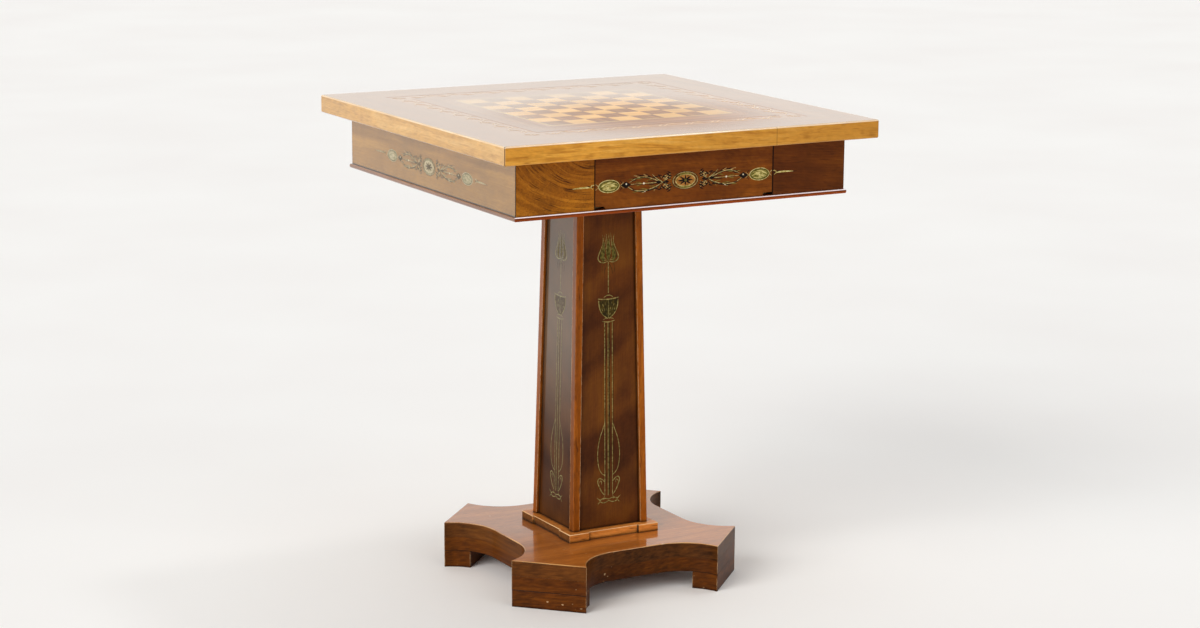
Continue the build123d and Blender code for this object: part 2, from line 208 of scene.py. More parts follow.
floor_shape = bmesh.new()
bmesh.ops.create_circle(floor_shape, cap_ends=True, segments=96, radius=FLOOR_RADIUS)
floor_mesh = bpy.data.meshes.new("floor")
floor_shape.to_mesh(floor_mesh)
floor_shape.free()
floor = bpy.data.objects.new("floor", floor_mesh)
bpy.context.collection.objects.link(floor)

# Matt floor paint, rolled on: nearly white, with hardly any shine.
painted = bpy.data.materials.new("painted_floor")
painted.use_nodes = True
tree = painted.node_tree
tree.nodes.clear()
spot = add(tree, "ShaderNodeTexCoord")
cloud = add(tree, "ShaderNodeTexNoise", {"Scale": 1 / (CLOUD * MM), "Detail": 2.0},
            {"Vector": spot.outputs["Object"]})
pale = add(tree, "ShaderNodeValToRGB", {"stops": [(0.3, "#F7F4F0"), (0.7, "#FAF8F4")]},
           {"Fac": cloud.outputs["Fac"]})
matt = add(tree, "ShaderNodeBsdfPrincipled", {"Roughness": 0.8, "Specular IOR Level": 0.2},
           {"Base Color": pale.outputs["Color"]})
add(tree, "ShaderNodeOutputMaterial", (), {"Surface": matt.outputs[0]})
floor_mesh.materials.append(painted)
print("floor is", 2 * FLOOR_RADIUS, "m across")

# %% [markdown]
# # Wood
# All wood on the table has the same make-up, so one recipe serves every species. A tree grows
# in rings round its heart, so the recipe is a set of rings about an axis that lies beyond the
# face of the board, tilted a few degrees against it. Where a board cuts those rings, their
# long curves and arches appear by themselves, and a board that lies along x, y or z only needs
# the axis turned. A picture of wood would need seams, and would repeat from board to board.
#
# The recipe goes in steps, as the maker does: cut the board, look at its grain and its light,
# let it age, rub it and lacquer it. Each step is a short function that adds its nodes. What a
# board is told, and the sockets that one step leaves for the next, travel in one bundle.

# %% What a board can be told
PLAIN_BOARD = {
    # The cut: lengths in mm and angles in degrees.
    "turn": 0,  # how far the trunk is turned about z
    "tilt": 3,  # how far it dips under the face of the board
    "wander": 10,  # how far the rings stray from round
    "frame_grain": False,  # whether the grain follows the nearest side of a frame
    "tile": 0,  # the side of squares that are each cut from another place of the veneer
    "edge_veneer": 0.0,  # how much darker the edges are, where a level veneer covers them
    # The grain.
    "ring": 7,  # the width of a year in mm
    "figure": 0.5,  # how far rings show against fibres
    "pores": 0.35,  # how dark the pores are
    "veins": 0.0,  # and the thin line that ends each year
    # The light in it.
    "curl": 0.3,  # how far the light changes along the board, where its fibres dip
    "slant": 12,  # how far that change is turned against the grain, in degrees
    "blotch": 0.2,  # how far the light changes from patch to patch
    "mottle": 0.0,  # short strokes of light
    "flame": 0.0,  # broad bands, golden where they are light and red where they are dark
    # Age and use, with painted shade, reflection and highlight.
    "dark_sides": 0.0,  # how far painted shade darkens the faces that look left and right
    # Old wax, and a grey painted reflection on the column, both come up along one direction.
    "waxed": None,  # a tint: colour, direction, two places along it in mm, strength
    "wear": 0.0,  # pale corners: wear, and a painted highlight
    "seam_above": False,  # whether a glued seam keeps the upper corners from turning pale
    "knocks": 0.0,  # dents and scrapes
    "lit_round": None,  # a painted highlight on a round: colour, how steep it has to be, least strength
    "joints": (),  # dark lines where boards meet: axis, place and half width in mm, depth
    "mitred_ends": False,  # whether a dark line lies where x and y are equally far out
    "grime": 0.85,  # painted shade and dirt in seams and inner corners
    "grime_reach": 6,  # how far out of the corner it comes, in mm
    # The polish: roughness, refraction and shine of the wood, and the coat over it.
    "rough": 0.3, "ior": 1.45, "shine": 0.5, "coat": 0.5, "coat_rough": 0.06,
    "upright": None,  # the coat on faces that stand, where it differs
    "handled": None,  # the coat on all faces but the left and right, where it differs
    "dulled": None,  # a coat that fades: direction, two places along it in mm, share left
    "thinned": None,  # a coat that is thin at a spot: the spot and two radii in mm, share left
}
print("a board can be told", len(PLAIN_BOARD), "things")

# %% [markdown]
# ## Cutting the board
# A pattern starts from a place on the table. Object coordinates give it, because they stay on
# the wood however the table is seen. Three kinds of work move that place before the grain is
# laid. On a frame, the grain follows the nearest side, and the halves meet in a mitre. On an
# edge that is covered with veneer, it runs level all round. On the chess board, each square
# comes from another place of the veneer, by a lot that its row and column draw.

# %% Reading the surface
def read_surface(board):
    """Reads where a point lies, and how far its face looks up, sideways or down."""
    tree = board.tree
    board.place = board.point = add(tree, "ShaderNodeTexCoord").outputs["Object"]
    board.normal = add(tree, "ShaderNodeNewGeometry").outputs["True Normal"]
    looks = add(tree, "ShaderNodeSeparateXYZ", (), {0: board.normal})
    board.rising = looks.outputs["Z"]
    board.facing = add(tree, "ShaderNodeMath", {"operation": "ABSOLUTE"},
                       {0: board.rising}).outputs[0]
    board.sideways = add(tree, "ShaderNodeMath", {"operation": "ABSOLUTE"},
                         {0: looks.outputs["X"]}).outputs[0]


def follow_frame(board):
    """Runs the grain along the nearest side of a frame."""
    if not board.frame_grain:
        return
    tree = board.tree
    parts = add(tree, "ShaderNodeSeparateXYZ", (), {0: board.point})
    across = add(tree, "ShaderNodeMath", {"operation": "ABSOLUTE"}, {0: parts.outputs["X"]})
    deep = add(tree, "ShaderNodeMath", {"operation": "ABSOLUTE"}, {0: parts.outputs["Y"]})
    at_side = add(tree, "ShaderNodeMath", {"operation": "GREATER_THAN"},
                  {0: across.outputs[0], 1: deep.outputs[0]})
    swapped = add(tree, "ShaderNodeCombineXYZ", (),
                  {"X": parts.outputs["Y"], "Y": parts.outputs["X"], "Z": parts.outputs["Z"]})
    board.point = add(tree, "ShaderNodeMix", {"data_type": "VECTOR"},
                      {0: at_side.outputs[0], 4: board.point, 5: swapped.outputs[0]}).outputs[1]


def level_edges(board):
    """Runs the grain of the edges level, all round the board."""
    if not board.edge_veneer:
        return
    tree = board.tree
    parts = add(tree, "ShaderNodeSeparateXYZ", (), {0: board.point})
    deep = add(tree, "ShaderNodeMath", {"operation": "MULTIPLY", 1: 0.04},
               {0: parts.outputs["Y"]})
    level = add(tree, "ShaderNodeCombineXYZ", (),
                {"X": parts.outputs["X"], "Y": parts.outputs["Z"], "Z": deep.outputs[0]})
    board.is_edge = add(tree, "ShaderNodeMapRange", {"From Min": 0.75, "From Max": 0.55},
                        {"Value": board.facing}).outputs[0]
    board.point = add(tree, "ShaderNodeMix", {"data_type": "VECTOR"},
                      {0: board.is_edge, 4: board.point, 5: level.outputs[0]}).outputs[1]


def cut_squares(board):
    """Cuts each square of a chess board from another place of the veneer."""
    if not board.tile:
        return
    tree = board.tree
    cell = add(tree, "ShaderNodeVectorMath",
               {"operation": "DIVIDE", 1: (board.tile * MM, board.tile * MM, 1)},
               {0: board.point})
    cell = add(tree, "ShaderNodeVectorMath", {"operation": "FLOOR"}, {0: cell.outputs[0]})
    lot = add(tree, "ShaderNodeTexWhiteNoise", {"noise_dimensions": "2D"},
              {"Vector": cell.outputs[0]})
    board.lot = lot.outputs["Value"]
    board.point = add(tree, "ShaderNodeVectorMath",
                      {"operation": "MULTIPLY_ADD", 1: (0.6, 0.12, 0)},
                      {0: lot.outputs["Color"], 2: board.point}).outputs[0]


print("four steps read and move the place of a point")

# %% [markdown]
# ## Laying it in the trunk
# The place on the board is turned into a place in the trunk, with x along the heart and the
# rings round it. No trunk is perfectly round, so a slow noise pushes the rings about. It is
# drawn out six times along the trunk, because rings stray far less along it than across.

# %% Into the trunk
TRUNK_TURNS = {"X": (0, 0, 0), "Y": (0, 0, 90), "Z": (0, -90, 0)}  # degrees
STRAY = 71.43  # mm from one bend of a ring to the next


def lay_in_trunk(board):
    """Turns the place of a point into its place in the trunk."""
    tree = board.tree
    angles = Vector(TRUNK_TURNS[board.along]) + Vector((0, 0, board.turn))
    angles += Vector((board.tilt, 0, 0)) if board.along == "Y" else Vector((0, board.tilt, 0))
    laid = add(tree, "ShaderNodeMapping",
               {"vector_type": "TEXTURE", "Location": Vector(board.heart) * MM,
                "Rotation": [math.radians(angle) for angle in angles]},
               {"Vector": board.point})
    slow = add(tree, "ShaderNodeMapping", {"Scale": (0.16, 1, 1)}, {"Vector": laid.outputs[0]})
    drift = add(tree, "ShaderNodeTexNoise",
                {"Scale": 1 / (STRAY * MM), "Detail": 3.0, "Roughness": 0.45},
                {"Vector": slow.outputs[0]})
    stray = (0, board.wander * MM, board.wander * MM)
    board.laid = add(tree, "ShaderNodeVectorMath", {"operation": "MULTIPLY_ADD", 1: stray},
                     {0: drift.outputs["Color"], 2: laid.outputs[0]}).outputs[0]


print("a trunk can lie", len(TRUNK_TURNS), "ways")

# %% [markdown]
# ## Rings, fibres and pores
# The years are a noise of the distance to the heart, drawn out 25 times along the trunk.
# Fibres and pores are finer noises, drawn out 33 and 11 times. Real fibres are about 0.05 mm
# wide and pores about 0.3 mm. Both are drawn 1 to 2 mm wide here, because finer ones can't
# show from where the table is seen. In a lively board a thin dark line also ends each year,
# and fades in and out along it.

# %% Grain
FIBRE, PORE = 1.613, 1.923  # widths in mm
VEIN_FADE = 22.22  # mm between the places where a vein fades


def grow_grain(board):
    """Colours the board by its rings, fibres and pores."""
    tree = board.tree
    pore, late, early, pale = board.tones
    flat = add(tree, "ShaderNodeVectorMath", {"operation": "MULTIPLY", 1: (0, 1, 1)},
               {0: board.laid})
    radius = add(tree, "ShaderNodeVectorMath", {"operation": "LENGTH"}, {0: flat.outputs[0]})
    way = add(tree, "ShaderNodeSeparateXYZ", (), {0: board.laid})
    year = add(tree, "ShaderNodeCombineXYZ", (),
               {"X": way.outputs["X"], "Y": radius.outputs["Value"]})
    year = add(tree, "ShaderNodeMapping", {"Scale": (0.04, 1, 1)}, {"Vector": year.outputs[0]})
    board.years = add(tree, "ShaderNodeTexNoise",
                      {"Scale": 1 / (board.ring * MM), "Detail": 3.0, "Roughness": 0.55,
                       "Distortion": 0.2}, {"Vector": year.outputs[0]}).outputs["Fac"]
    rings = add(tree, "ShaderNodeMapRange", {"From Min": 0.32, "From Max": 0.68},
                {"Value": board.years})
    drawn = add(tree, "ShaderNodeMapping", {"Scale": (0.03, 1, 1)}, {"Vector": board.laid})
    board.fibres = add(tree, "ShaderNodeTexNoise",
                       {"Scale": 1 / (FIBRE * MM), "Detail": 3.0, "Roughness": 0.6},
                       {"Vector": drawn.outputs[0]}).outputs["Fac"]
    short = add(tree, "ShaderNodeMapping",
                {"Scale": (0.09, 1, 1), "Location": (0.3, 0.1, 0.2)}, {"Vector": board.laid})
    pits = add(tree, "ShaderNodeTexNoise", {"Scale": 1 / (PORE * MM), "Detail": 1.0},
               {"Vector": short.outputs[0]})
    board.pit = add(tree, "ShaderNodeMapRange",
                    {"From Min": 0.6, "From Max": 0.72, "To Max": board.pores},
                    {"Value": pits.outputs["Fac"]}).outputs[0]
    grain = add(tree, "ShaderNodeMix", {0: board.figure},
                {2: board.fibres, 3: rings.outputs[0]})
    toned = add(tree, "ShaderNodeValToRGB",
                {"stops": [(0.18, late), (0.55, early), (0.85, pale)]},
                {"Fac": grain.outputs[0]})
    board.colour = add(tree, "ShaderNodeMix", {"data_type": "RGBA", 7: linear(pore)},
                       {0: board.pit, 6: toned.outputs["Color"]}).outputs[2]


def draw_veins(board):
    """Draws the thin dark line that ends each year."""
    if not board.veins:
        return
    tree = board.tree
    off = add(tree, "ShaderNodeMath", {"operation": "SUBTRACT", 1: 0.5}, {0: board.years})
    off = add(tree, "ShaderNodeMath", {"operation": "ABSOLUTE"}, {0: off.outputs[0]})
    line = add(tree, "ShaderNodeMapRange", {"From Min": 0.034, "From Max": 0.006},
               {"Value": off.outputs[0]})
    fade = add(tree, "ShaderNodeTexNoise", {"Scale": 1 / (VEIN_FADE * MM), "Detail": 2.0},
               {"Vector": board.laid})
    fade = add(tree, "ShaderNodeMapRange",
               {"From Min": 0.38, "From Max": 0.6, "To Max": board.veins},
               {"Value": fade.outputs["Fac"]})
    line = add(tree, "ShaderNodeMath", {"operation": "MULTIPLY"},
               {0: line.outputs[0], 1: fade.outputs[0]})
    board.colour = add(tree, "ShaderNodeMix", {"data_type": "RGBA", 7: linear(board.tones[0])},
                       {0: line.outputs[0], 6: board.colour}).outputs[2]


print("fibres are drawn", FIBRE, "mm wide")

# %% [markdown]
# ## The light in the wood
# Cabinet wood is full of slow changes of light where its fibres dip and rise, and these lie
# across the grain. Walnut adds short strokes along it, called mottle, and the panels of the
# column have broad slanting flames, golden where they are light and red where they are dark.
# All of them are summed first and then brighten or darken the colour in one node.

# %% Light
RIPPLE, PATCH = 29.41, 142.9  # mm from one light place to the next, along the board and on it
STROKE = 4.348  # width of a stroke of mottle in mm
FLAME, FLAME_TURN = 41.67, math.radians(42)  # width in mm, and how far a flame leans
LOT_LIGHT = 0.22  # how much lighter the lightest square of veneer is than the darkest


def play_light(board):
    """Changes the light along the board and from patch to patch."""
    tree, slant = board.tree, math.radians(board.slant)
    dips = add(tree, "ShaderNodeMapping",
               {"vector_type": "TEXTURE", "Rotation": (0, slant, slant), "Scale": (1, 3.2, 3.2)},
               {"Vector": board.laid})
    ripple = add(tree, "ShaderNodeTexNoise", {"Scale": 1 / (RIPPLE * MM), "Detail": 2.0},
                 {"Vector": dips.outputs[0]})
    patch = add(tree, "ShaderNodeTexNoise", {"Scale": 1 / (PATCH * MM), "Detail": 2.0},
                {"Vector": board.point})
    light = add(tree, "ShaderNodeMath",
                {"operation": "MULTIPLY_ADD", 1: 2 * board.curl,
                 2: 1 - board.curl - board.blotch}, {0: ripple.outputs["Fac"]})
    board.light = add(tree, "ShaderNodeMath",
                      {"operation": "MULTIPLY_ADD", 1: 2 * board.blotch},
                      {0: patch.outputs["Fac"], 2: light.outputs[0]}).outputs[0]


def add_strokes(board):
    """Adds short strokes of light along the grain."""
    if not board.mottle:
        return
    tree, slant = board.tree, math.radians(board.slant)
    strokes = add(tree, "ShaderNodeMapping",
                  {"vector_type": "TEXTURE", "Rotation": (0, slant, slant), "Scale": (3, 1, 1)},
                  {"Vector": board.laid})
    strokes = add(tree, "ShaderNodeTexNoise",
                  {"Scale": 1 / (STROKE * MM), "Detail": 2.0, "Roughness": 0.6},
                  {"Vector": strokes.outputs[0]})
    strokes = add(tree, "ShaderNodeMapRange",
                  {"From Min": 0.34, "From Max": 0.66, "To Min": -board.mottle,
                   "To Max": board.mottle}, {"Value": strokes.outputs["Fac"]})
    board.light = add(tree, "ShaderNodeMath", {"operation": "ADD"},
                      {0: board.light, 1: strokes.outputs[0]}).outputs[0]


def add_flames(board):
    """Adds broad bands that are both lighter and warmer."""
    if not board.flame:
        return
    tree = board.tree
    bands = add(tree, "ShaderNodeMapping",
                {"vector_type": "TEXTURE", "Rotation": (0, FLAME_TURN, FLAME_TURN),
                 "Scale": (1, 2.4, 2.4), "Location": (0.02, 0.01, 0.03)},
                {"Vector": board.point})
    bands = add(tree, "ShaderNodeTexNoise",
                {"Scale": 1 / (FLAME * MM), "Detail": 1.5, "Roughness": 0.4},
                {"Vector": bands.outputs[0]})
    bands = add(tree, "ShaderNodeMapRange",
                {"From Min": 0.36, "From Max": 0.64, "To Min": -board.flame,
                 "To Max": board.flame}, {"Value": bands.outputs["Fac"]})
    board.light = add(tree, "ShaderNodeMath", {"operation": "ADD"},
                      {0: board.light, 1: bands.outputs[0]}).outputs[0]
    # A hue of 0.5 changes nothing.
    board.warmth = add(tree, "ShaderNodeMath", {"operation": "MULTIPLY_ADD", 1: 0.014, 2: 0.5},
                       {0: bands.outputs[0]}).outputs[0]


def light_up(board):
    """Gives the summed light, and the warmth if there is any, to the colour."""
    tree = board.tree
    if board.lot is not None:
        board.light = add(tree, "ShaderNodeMath", {"operation": "MULTIPLY_ADD", 1: LOT_LIGHT},
                          {0: board.lot, 2: board.light}).outputs[0]
    if board.is_edge is not None:
        board.light = add(tree, "ShaderNodeMath",
                          {"operation": "MULTIPLY_ADD", 1: -board.edge_veneer},
                          {0: board.is_edge, 2: board.light}).outputs[0]
    links = {"Value": board.light, "Color": board.colour}
    if board.warmth is not None:
        links["Hue"] = board.warmth
    board.colour = add(tree, "ShaderNodeHueSaturation", (), links).outputs["Color"]


print("a flame is", round(FLAME), "mm wide")

# %% [markdown]
# ## Painted shade, wax, painted reflection and wear
# Old furniture isn't even. The faces that look left and right are darkened with painted shade.
# A tint comes up along one direction: old wax on the front lipping, and a grey painted
# reflection towards the top of the column panels. Corners rub pale first, and that pale line is
# also a painted highlight. A Bevel node finds them, because its normal turns away from the real
# one near a corner, and a noise breaks the line up.
# Dents and scrapes are 1 to 4 mm long and come in loose groups, as knocks do.

# %% Age, with painted shade, reflection and highlight
WORN_AND_LIT_WOOD = "#EEC896"
# The near black of dirt in joints, also used for painted shade.
DARK_SHADE_AND_DIRT = "#150A04"
SIDE_ON = (0.82, 0.95)  # how far a face looks left or right, from where it starts to count
WORN_AND_LIT_REACH = 1.6  # mm from a corner
SCUFF, CHIP, CHIP_GROUP = 11.11, 4.762, 62.5  # sizes in mm


def shade_sides(board):
    """Paints shade on the faces that look left and right."""
    if not board.dark_sides:
        return
    side_shade = add(board.tree, "ShaderNodeMapRange",
                {"From Min": SIDE_ON[0], "From Max": SIDE_ON[1], "To Max": board.dark_sides},
                {"Value": board.sideways})
    board.colour = add(board.tree, "ShaderNodeMix", {"data_type": "RGBA", 7: linear(DARK_SHADE_AND_DIRT)},
                       {0: side_shade.outputs[0], 6: board.colour}).outputs[2]


def lay_wax_and_sheen(board):
    """Lays on a tint along one direction: old wax on the lipping, painted reflection on the
    column.
    """
    if not board.waxed:
        return
    tint, direction, first, last, strength = board.waxed
    along_it = add(board.tree, "ShaderNodeVectorMath", {"operation": "DOT_PRODUCT", 1: direction},
                   {0: board.place})
    wax_and_sheen_share = add(board.tree, "ShaderNodeMapRange",
              {"interpolation_type": "SMOOTHSTEP", "From Min": first * MM, "From Max": last * MM,
               "To Max": strength}, {"Value": along_it.outputs["Value"]})
    board.colour = add(board.tree, "ShaderNodeMix", {"data_type": "RGBA", 7: linear(tint)},
                       {0: wax_and_sheen_share.outputs[0], 6: board.colour}).outputs[2]


def rub_and_light_corners(board):
    """Paints the corners pale with wear and a painted highlight, broken up so that no line is
    even.
    """
    if not board.wear:
        return
    tree = board.tree
    rounded = add(tree, "ShaderNodeBevel", {"samples": 6, "Radius": WORN_AND_LIT_REACH * MM})
    bend = add(tree, "ShaderNodeVectorMath", {"operation": "DOT_PRODUCT"},
               {0: rounded.outputs[0], 1: board.normal})
    edge = add(tree, "ShaderNodeMapRange", {"From Min": 0.99, "From Max": 0.86},
               {"Value": bend.outputs["Value"]})
    scuff = add(tree, "ShaderNodeTexNoise",
                {"Scale": 1 / (SCUFF * MM), "Detail": 4.0, "Roughness": 0.7},
                {"Vector": board.point})
    gone = add(tree, "ShaderNodeMapRange",
               {"From Min": 0.34, "From Max": 0.54, "To Max": board.wear},
               {"Value": scuff.outputs["Fac"]})
    pale_corner = add(tree, "ShaderNodeMath", {"operation": "MULTIPLY"},
               {0: edge.outputs[0], 1: gone.outputs[0]})
    # A corner that looks down, or up into a glued seam, is never made pale.
    way = add(tree, "ShaderNodeSeparateXYZ", (), {0: rounded.outputs[0]})
    for shut, clear in [(-0.2, -0.06)] + [(0.2, 0.06)] * board.seam_above:
        open_air = add(tree, "ShaderNodeMapRange", {"From Min": shut, "From Max": clear},
                       {"Value": way.outputs["Z"]})
        pale_corner = add(tree, "ShaderNodeMath", {"operation": "MULTIPLY"},
                   {0: pale_corner.outputs[0], 1: open_air.outputs[0]})
    board.colour = add(tree, "ShaderNodeMix", {"data_type": "RGBA", 7: linear(WORN_AND_LIT_WOOD)},
                       {0: pale_corner.outputs[0], 6: board.colour}).outputs[2]


def knock_about(board):
    """Chips the colour off in small dents and scrapes."""
    if not board.knocks:
        return
    tree = board.tree
    chips = add(tree, "ShaderNodeTexNoise", {"Scale": 1 / (CHIP * MM), "Detail": 1.0},
                {"Vector": board.point})
    group = add(tree, "ShaderNodeTexNoise", {"Scale": 1 / (CHIP_GROUP * MM), "Detail": 1.0},
                {"Vector": board.point})
    chips = add(tree, "ShaderNodeMath", {"operation": "MULTIPLY_ADD", 1: 0.45},
                {0: group.outputs["Fac"], 2: chips.outputs["Fac"]})
    chips = add(tree, "ShaderNodeMapRange",
                {"From Min": 1.01, "From Max": 1.04, "To Max": board.knocks},
                {"Value": chips.outputs[0]})
    board.colour = add(tree, "ShaderNodeMix", {"data_type": "RGBA", 7: linear(WORN_AND_LIT_WOOD)},
                       {0: chips.outputs[0], 6: board.colour}).outputs[2]


# The pale corners are wear and painted highlight.
print("corners are rubbed over", WORN_AND_LIT_REACH, "mm")

# %% [markdown]
# ## Painted highlights on rounds, dark joints, and painted shade with dirt
# A rounded upper arris gets a painted highlight all along it: a pale strip of colour that
# follows the steepness of the face. Where two boards meet, a line about a millimetre wide turns
# dark.
# Some of the joints are real gaps in the CAD, but a gap of a few hundredths of a millimetre
# shows nothing, and the line stands for the glue and dirt in it. Every seam and inner corner is
# also darkened nearly to black, where Ambient Occlusion finds a hollow: painted shade, with old
# wax and dust.

# %% Painted highlights, joints, and painted shade with dirt
ROUND_BAND = 0.16  # how much steeper a round gets before its painted highlight is full
HIGHLIGHT_GAP = 90.91  # mm between the places where the painted highlight breaks
MITRE_LINE = (1.0, 0.75)  # half width in mm and depth


def paint_round_highlight(board):
    """Paints a highlight along a small round, stronger in some places than in others."""
    if not board.lit_round:
        return
    tree = board.tree
    tint, steep, least = board.lit_round
    under = add(tree, "ShaderNodeMapRange", {"From Min": steep, "From Max": steep + ROUND_BAND},
                {"Value": board.rising})
    over = add(tree, "ShaderNodeMapRange", {"From Min": 0.99, "From Max": 0.93},
               {"Value": board.rising})
    highlight = add(tree, "ShaderNodeMath", {"operation": "MULTIPLY"},
                {0: under.outputs[0], 1: over.outputs[0]})
    faint = add(tree, "ShaderNodeTexNoise", {"Scale": 1 / (HIGHLIGHT_GAP * MM), "Detail": 2.0},
                {"Vector": board.place})
    faint = add(tree, "ShaderNodeMapRange", {"From Min": 0.44, "From Max": 0.62, "To Min": least},
                {"Value": faint.outputs["Fac"]})
    highlight = add(tree, "ShaderNodeMath", {"operation": "MULTIPLY"},
                {0: highlight.outputs[0], 1: faint.outputs[0]})
    board.colour = add(tree, "ShaderNodeMix", {"data_type": "RGBA", 7: linear(tint)},
                       {0: highlight.outputs[0], 6: board.colour}).outputs[2]


def draw_joints(board):
    """Draws a dark line wherever two boards meet."""
    if not (board.joints or board.mitred_ends):
        return
    tree = board.tree
    way = add(tree, "ShaderNodeSeparateXYZ", (), {0: board.place})
    standing = add(tree, "ShaderNodeMapRange", {"From Min": 0.995, "From Max": 0.97},
                   {"Value": board.facing})
    gaps = [(add(tree, "ShaderNodeMath", {"operation": "SUBTRACT", 1: level * MM},
                 {0: way.outputs[axis]}), half, depth)
            for axis, level, half, depth in board.joints]
    if board.mitred_ends:
        out_x = add(tree, "ShaderNodeMath", {"operation": "ABSOLUTE"}, {0: way.outputs["X"]})
        out_y = add(tree, "ShaderNodeMath", {"operation": "ABSOLUTE"}, {0: way.outputs["Y"]})
        gaps.append((add(tree, "ShaderNodeMath", {"operation": "SUBTRACT"},
                         {0: out_x.outputs[0], 1: out_y.outputs[0]}), *MITRE_LINE))
    for gap, half, depth in gaps:
        gap = add(tree, "ShaderNodeMath", {"operation": "ABSOLUTE"}, {0: gap.outputs[0]})
        gap = add(tree, "ShaderNodeMapRange",
                  {"From Min": (half + 0.5) * MM, "From Max": (half - 0.3) * MM,
                   "To Max": depth}, {"Value": gap.outputs[0]})
        if not board.mitred_ends:  # a butt joint ends below the veneer of the upper face
            gap = add(tree, "ShaderNodeMath", {"operation": "MULTIPLY"},
                      {0: gap.outputs[0], 1: standing.outputs[0]})
        board.colour = add(tree, "ShaderNodeMix", {"data_type": "RGBA", 7: linear(DARK_SHADE_AND_DIRT)},
                           {0: gap.outputs[0], 6: board.colour}).outputs[2]


def paint_shade_and_dirt(board):
    """Paints shade, together with old wax and dust, into every seam and inner corner."""
    if not board.grime:
        return
    hollow = add(board.tree, "ShaderNodeAmbientOcclusion",
                 {"samples": 8, "Distance": board.grime_reach * MM})
    shade_share = add(board.tree, "ShaderNodeMapRange",
               {"From Min": 0.9, "From Max": 0.5, "To Max": board.grime},
               {"Value": hollow.outputs["AO"]})
    board.colour = add(board.tree, "ShaderNodeMix", {"data_type": "RGBA", 7: linear(DARK_SHADE_AND_DIRT)},
                       {0: shade_share.outputs[0], 6: board.colour}).outputs[2]


print("a mitre shows as a line", 2 * MITRE_LINE[0], "mm wide")

# %% [markdown]
# ## Lacquer
# Lacquer is a clear coat over the wood, so it is the Coat of the shader, and the wood under it
# keeps a roughness of its own. Fibres and pores still show through as shallow pits. Where a
# coat is the same all over, its value sits on the shader. Where it fades, or differs between
# faces, a link carries its weight. Play and hands also make the wood itself duller.

# %% Lacquer
PIT_DEPTH = 0.15  # mm
DULLED_BY = 0.42  # what play adds to the roughness of the top


def lacquer(board):
    """Lays the coat over the wood."""
    tree = board.tree
    board.haze = add(tree, "ShaderNodeMapRange",
                     {"To Min": board.rough - 0.07, "To Max": board.rough + 0.09},
                     {"Value": board.fibres}).outputs[0]
    relief = add(tree, "ShaderNodeMath", {"operation": "SUBTRACT"},
                 {0: board.fibres, 1: board.pit})
    bump = add(tree, "ShaderNodeBump", {"Strength": 0.25, "Distance": PIT_DEPTH * MM},
               {"Height": relief.outputs[0]})
    board.shader = add(tree, "ShaderNodeBsdfPrincipled",
                       {"IOR": board.ior, "Specular IOR Level": board.shine,
                        "Coat Weight": board.coat, "Coat Roughness": board.coat_rough},
                       {"Base Color": board.colour, "Roughness": board.haze,
                        "Normal": bump.outputs[0]})
    add(tree, "ShaderNodeOutputMaterial", (), {"Surface": board.shader.outputs[0]})


def thin_lacquer(board):
    """Thins the coat on the faces and at the places that the board was told."""
    tree, film, fading = board.tree, None, []
    if board.upright is not None:
        film = add(tree, "ShaderNodeMapRange",
                   {"From Min": 0.12, "From Max": 0.3, "To Min": board.upright,
                    "To Max": board.coat}, {"Value": board.facing})
    if board.handled is not None:
        film = add(tree, "ShaderNodeMapRange",
                   {"From Min": SIDE_ON[0], "From Max": SIDE_ON[1], "To Min": board.handled,
                    "To Max": board.coat}, {"Value": board.sideways})
    if board.dulled:
        direction, *limits = board.dulled
        fading.append((add(tree, "ShaderNodeVectorMath",
                           {"operation": "DOT_PRODUCT", 1: direction}, {0: board.place}), limits))
    if board.thinned:
        spot, *limits = board.thinned
        fading.append((add(tree, "ShaderNodeVectorMath",
                           {"operation": "DISTANCE", 1: Vector(spot) * MM},
                           {0: board.place}), limits))
    for measure, (first, last, left) in fading:
        share = add(tree, "ShaderNodeMapRange",
                    {"interpolation_type": "SMOOTHSTEP", "From Min": first * MM,
                     "From Max": last * MM, "To Min": left}, {"Value": measure.outputs["Value"]})
        film = add(tree, "ShaderNodeMath", {"operation": "MULTIPLY", 1: board.coat},
                   {0: share.outputs[0]} | ({1: film.outputs[0]} if film else {}))
    if film:
        tree.links.new(film.outputs[0], board.shader.inputs["Coat Weight"])
    if board.thinned:
        matt = add(tree, "ShaderNodeMath",
                   {"operation": "MULTIPLY_ADD", 1: -DULLED_BY, 2: DULLED_BY},
                   {0: share.outputs[0]})
        matt = add(tree, "ShaderNodeMath", {"operation": "ADD"},
                   {0: board.haze, 1: matt.outputs[0]})
        tree.links.new(matt.outputs[0], board.shader.inputs["Roughness"])


print("pores are pits", PIT_DEPTH, "mm deep")

# %% The whole recipe
STEPS = (
    read_surface, follow_frame, level_edges, cut_squares, lay_in_trunk, grow_grain, draw_veins,
    play_light, add_strokes, add_flames, light_up, shade_sides, lay_wax_and_sheen, rub_and_light_corners,
    knock_about, paint_round_highlight, draw_joints, paint_shade_and_dirt, lacquer, thin_lacquer,
)


def wood(name, tones, along, heart, **told):
    """A material of wood, with four tones from the pores to the palest fibre.

    along is the axis along which the trunk ran, heart a point in its middle in mm, and told
    is whatever differs from a plain board.
    """
    unknown = told.keys() - PLAIN_BOARD.keys()
    assert not unknown, unknown
    material = bpy.data.materials.new(name)
    material.use_nodes = True
    material.node_tree.nodes.clear()
    board = SimpleNamespace(**PLAIN_BOARD | told, tree=material.node_tree, tones=tones,
                            along=along, heart=heart, lot=None, is_edge=None, warmth=None)
    for step in STEPS:
        step(board)
    return material


print("the recipe for wood has", len(STEPS), "steps")

# %% [markdown]
# # Polishes
# The same wood looks different under another polish, so the polishes come first. The box and
# the base have a thin satin finish that hardly mirrors anything. What the owner wipes often is
# under a full coat of hard lacquer, with long soft reflections. Rubbed parts keep that coat on
# top only. The table top is polished flattest of all, and play and hands have dulled it before
# the sitter. The column's polish fades towards the floor, where feet and brooms reach. Wood
# inside the box is bare: it has no coat and a rough surface.

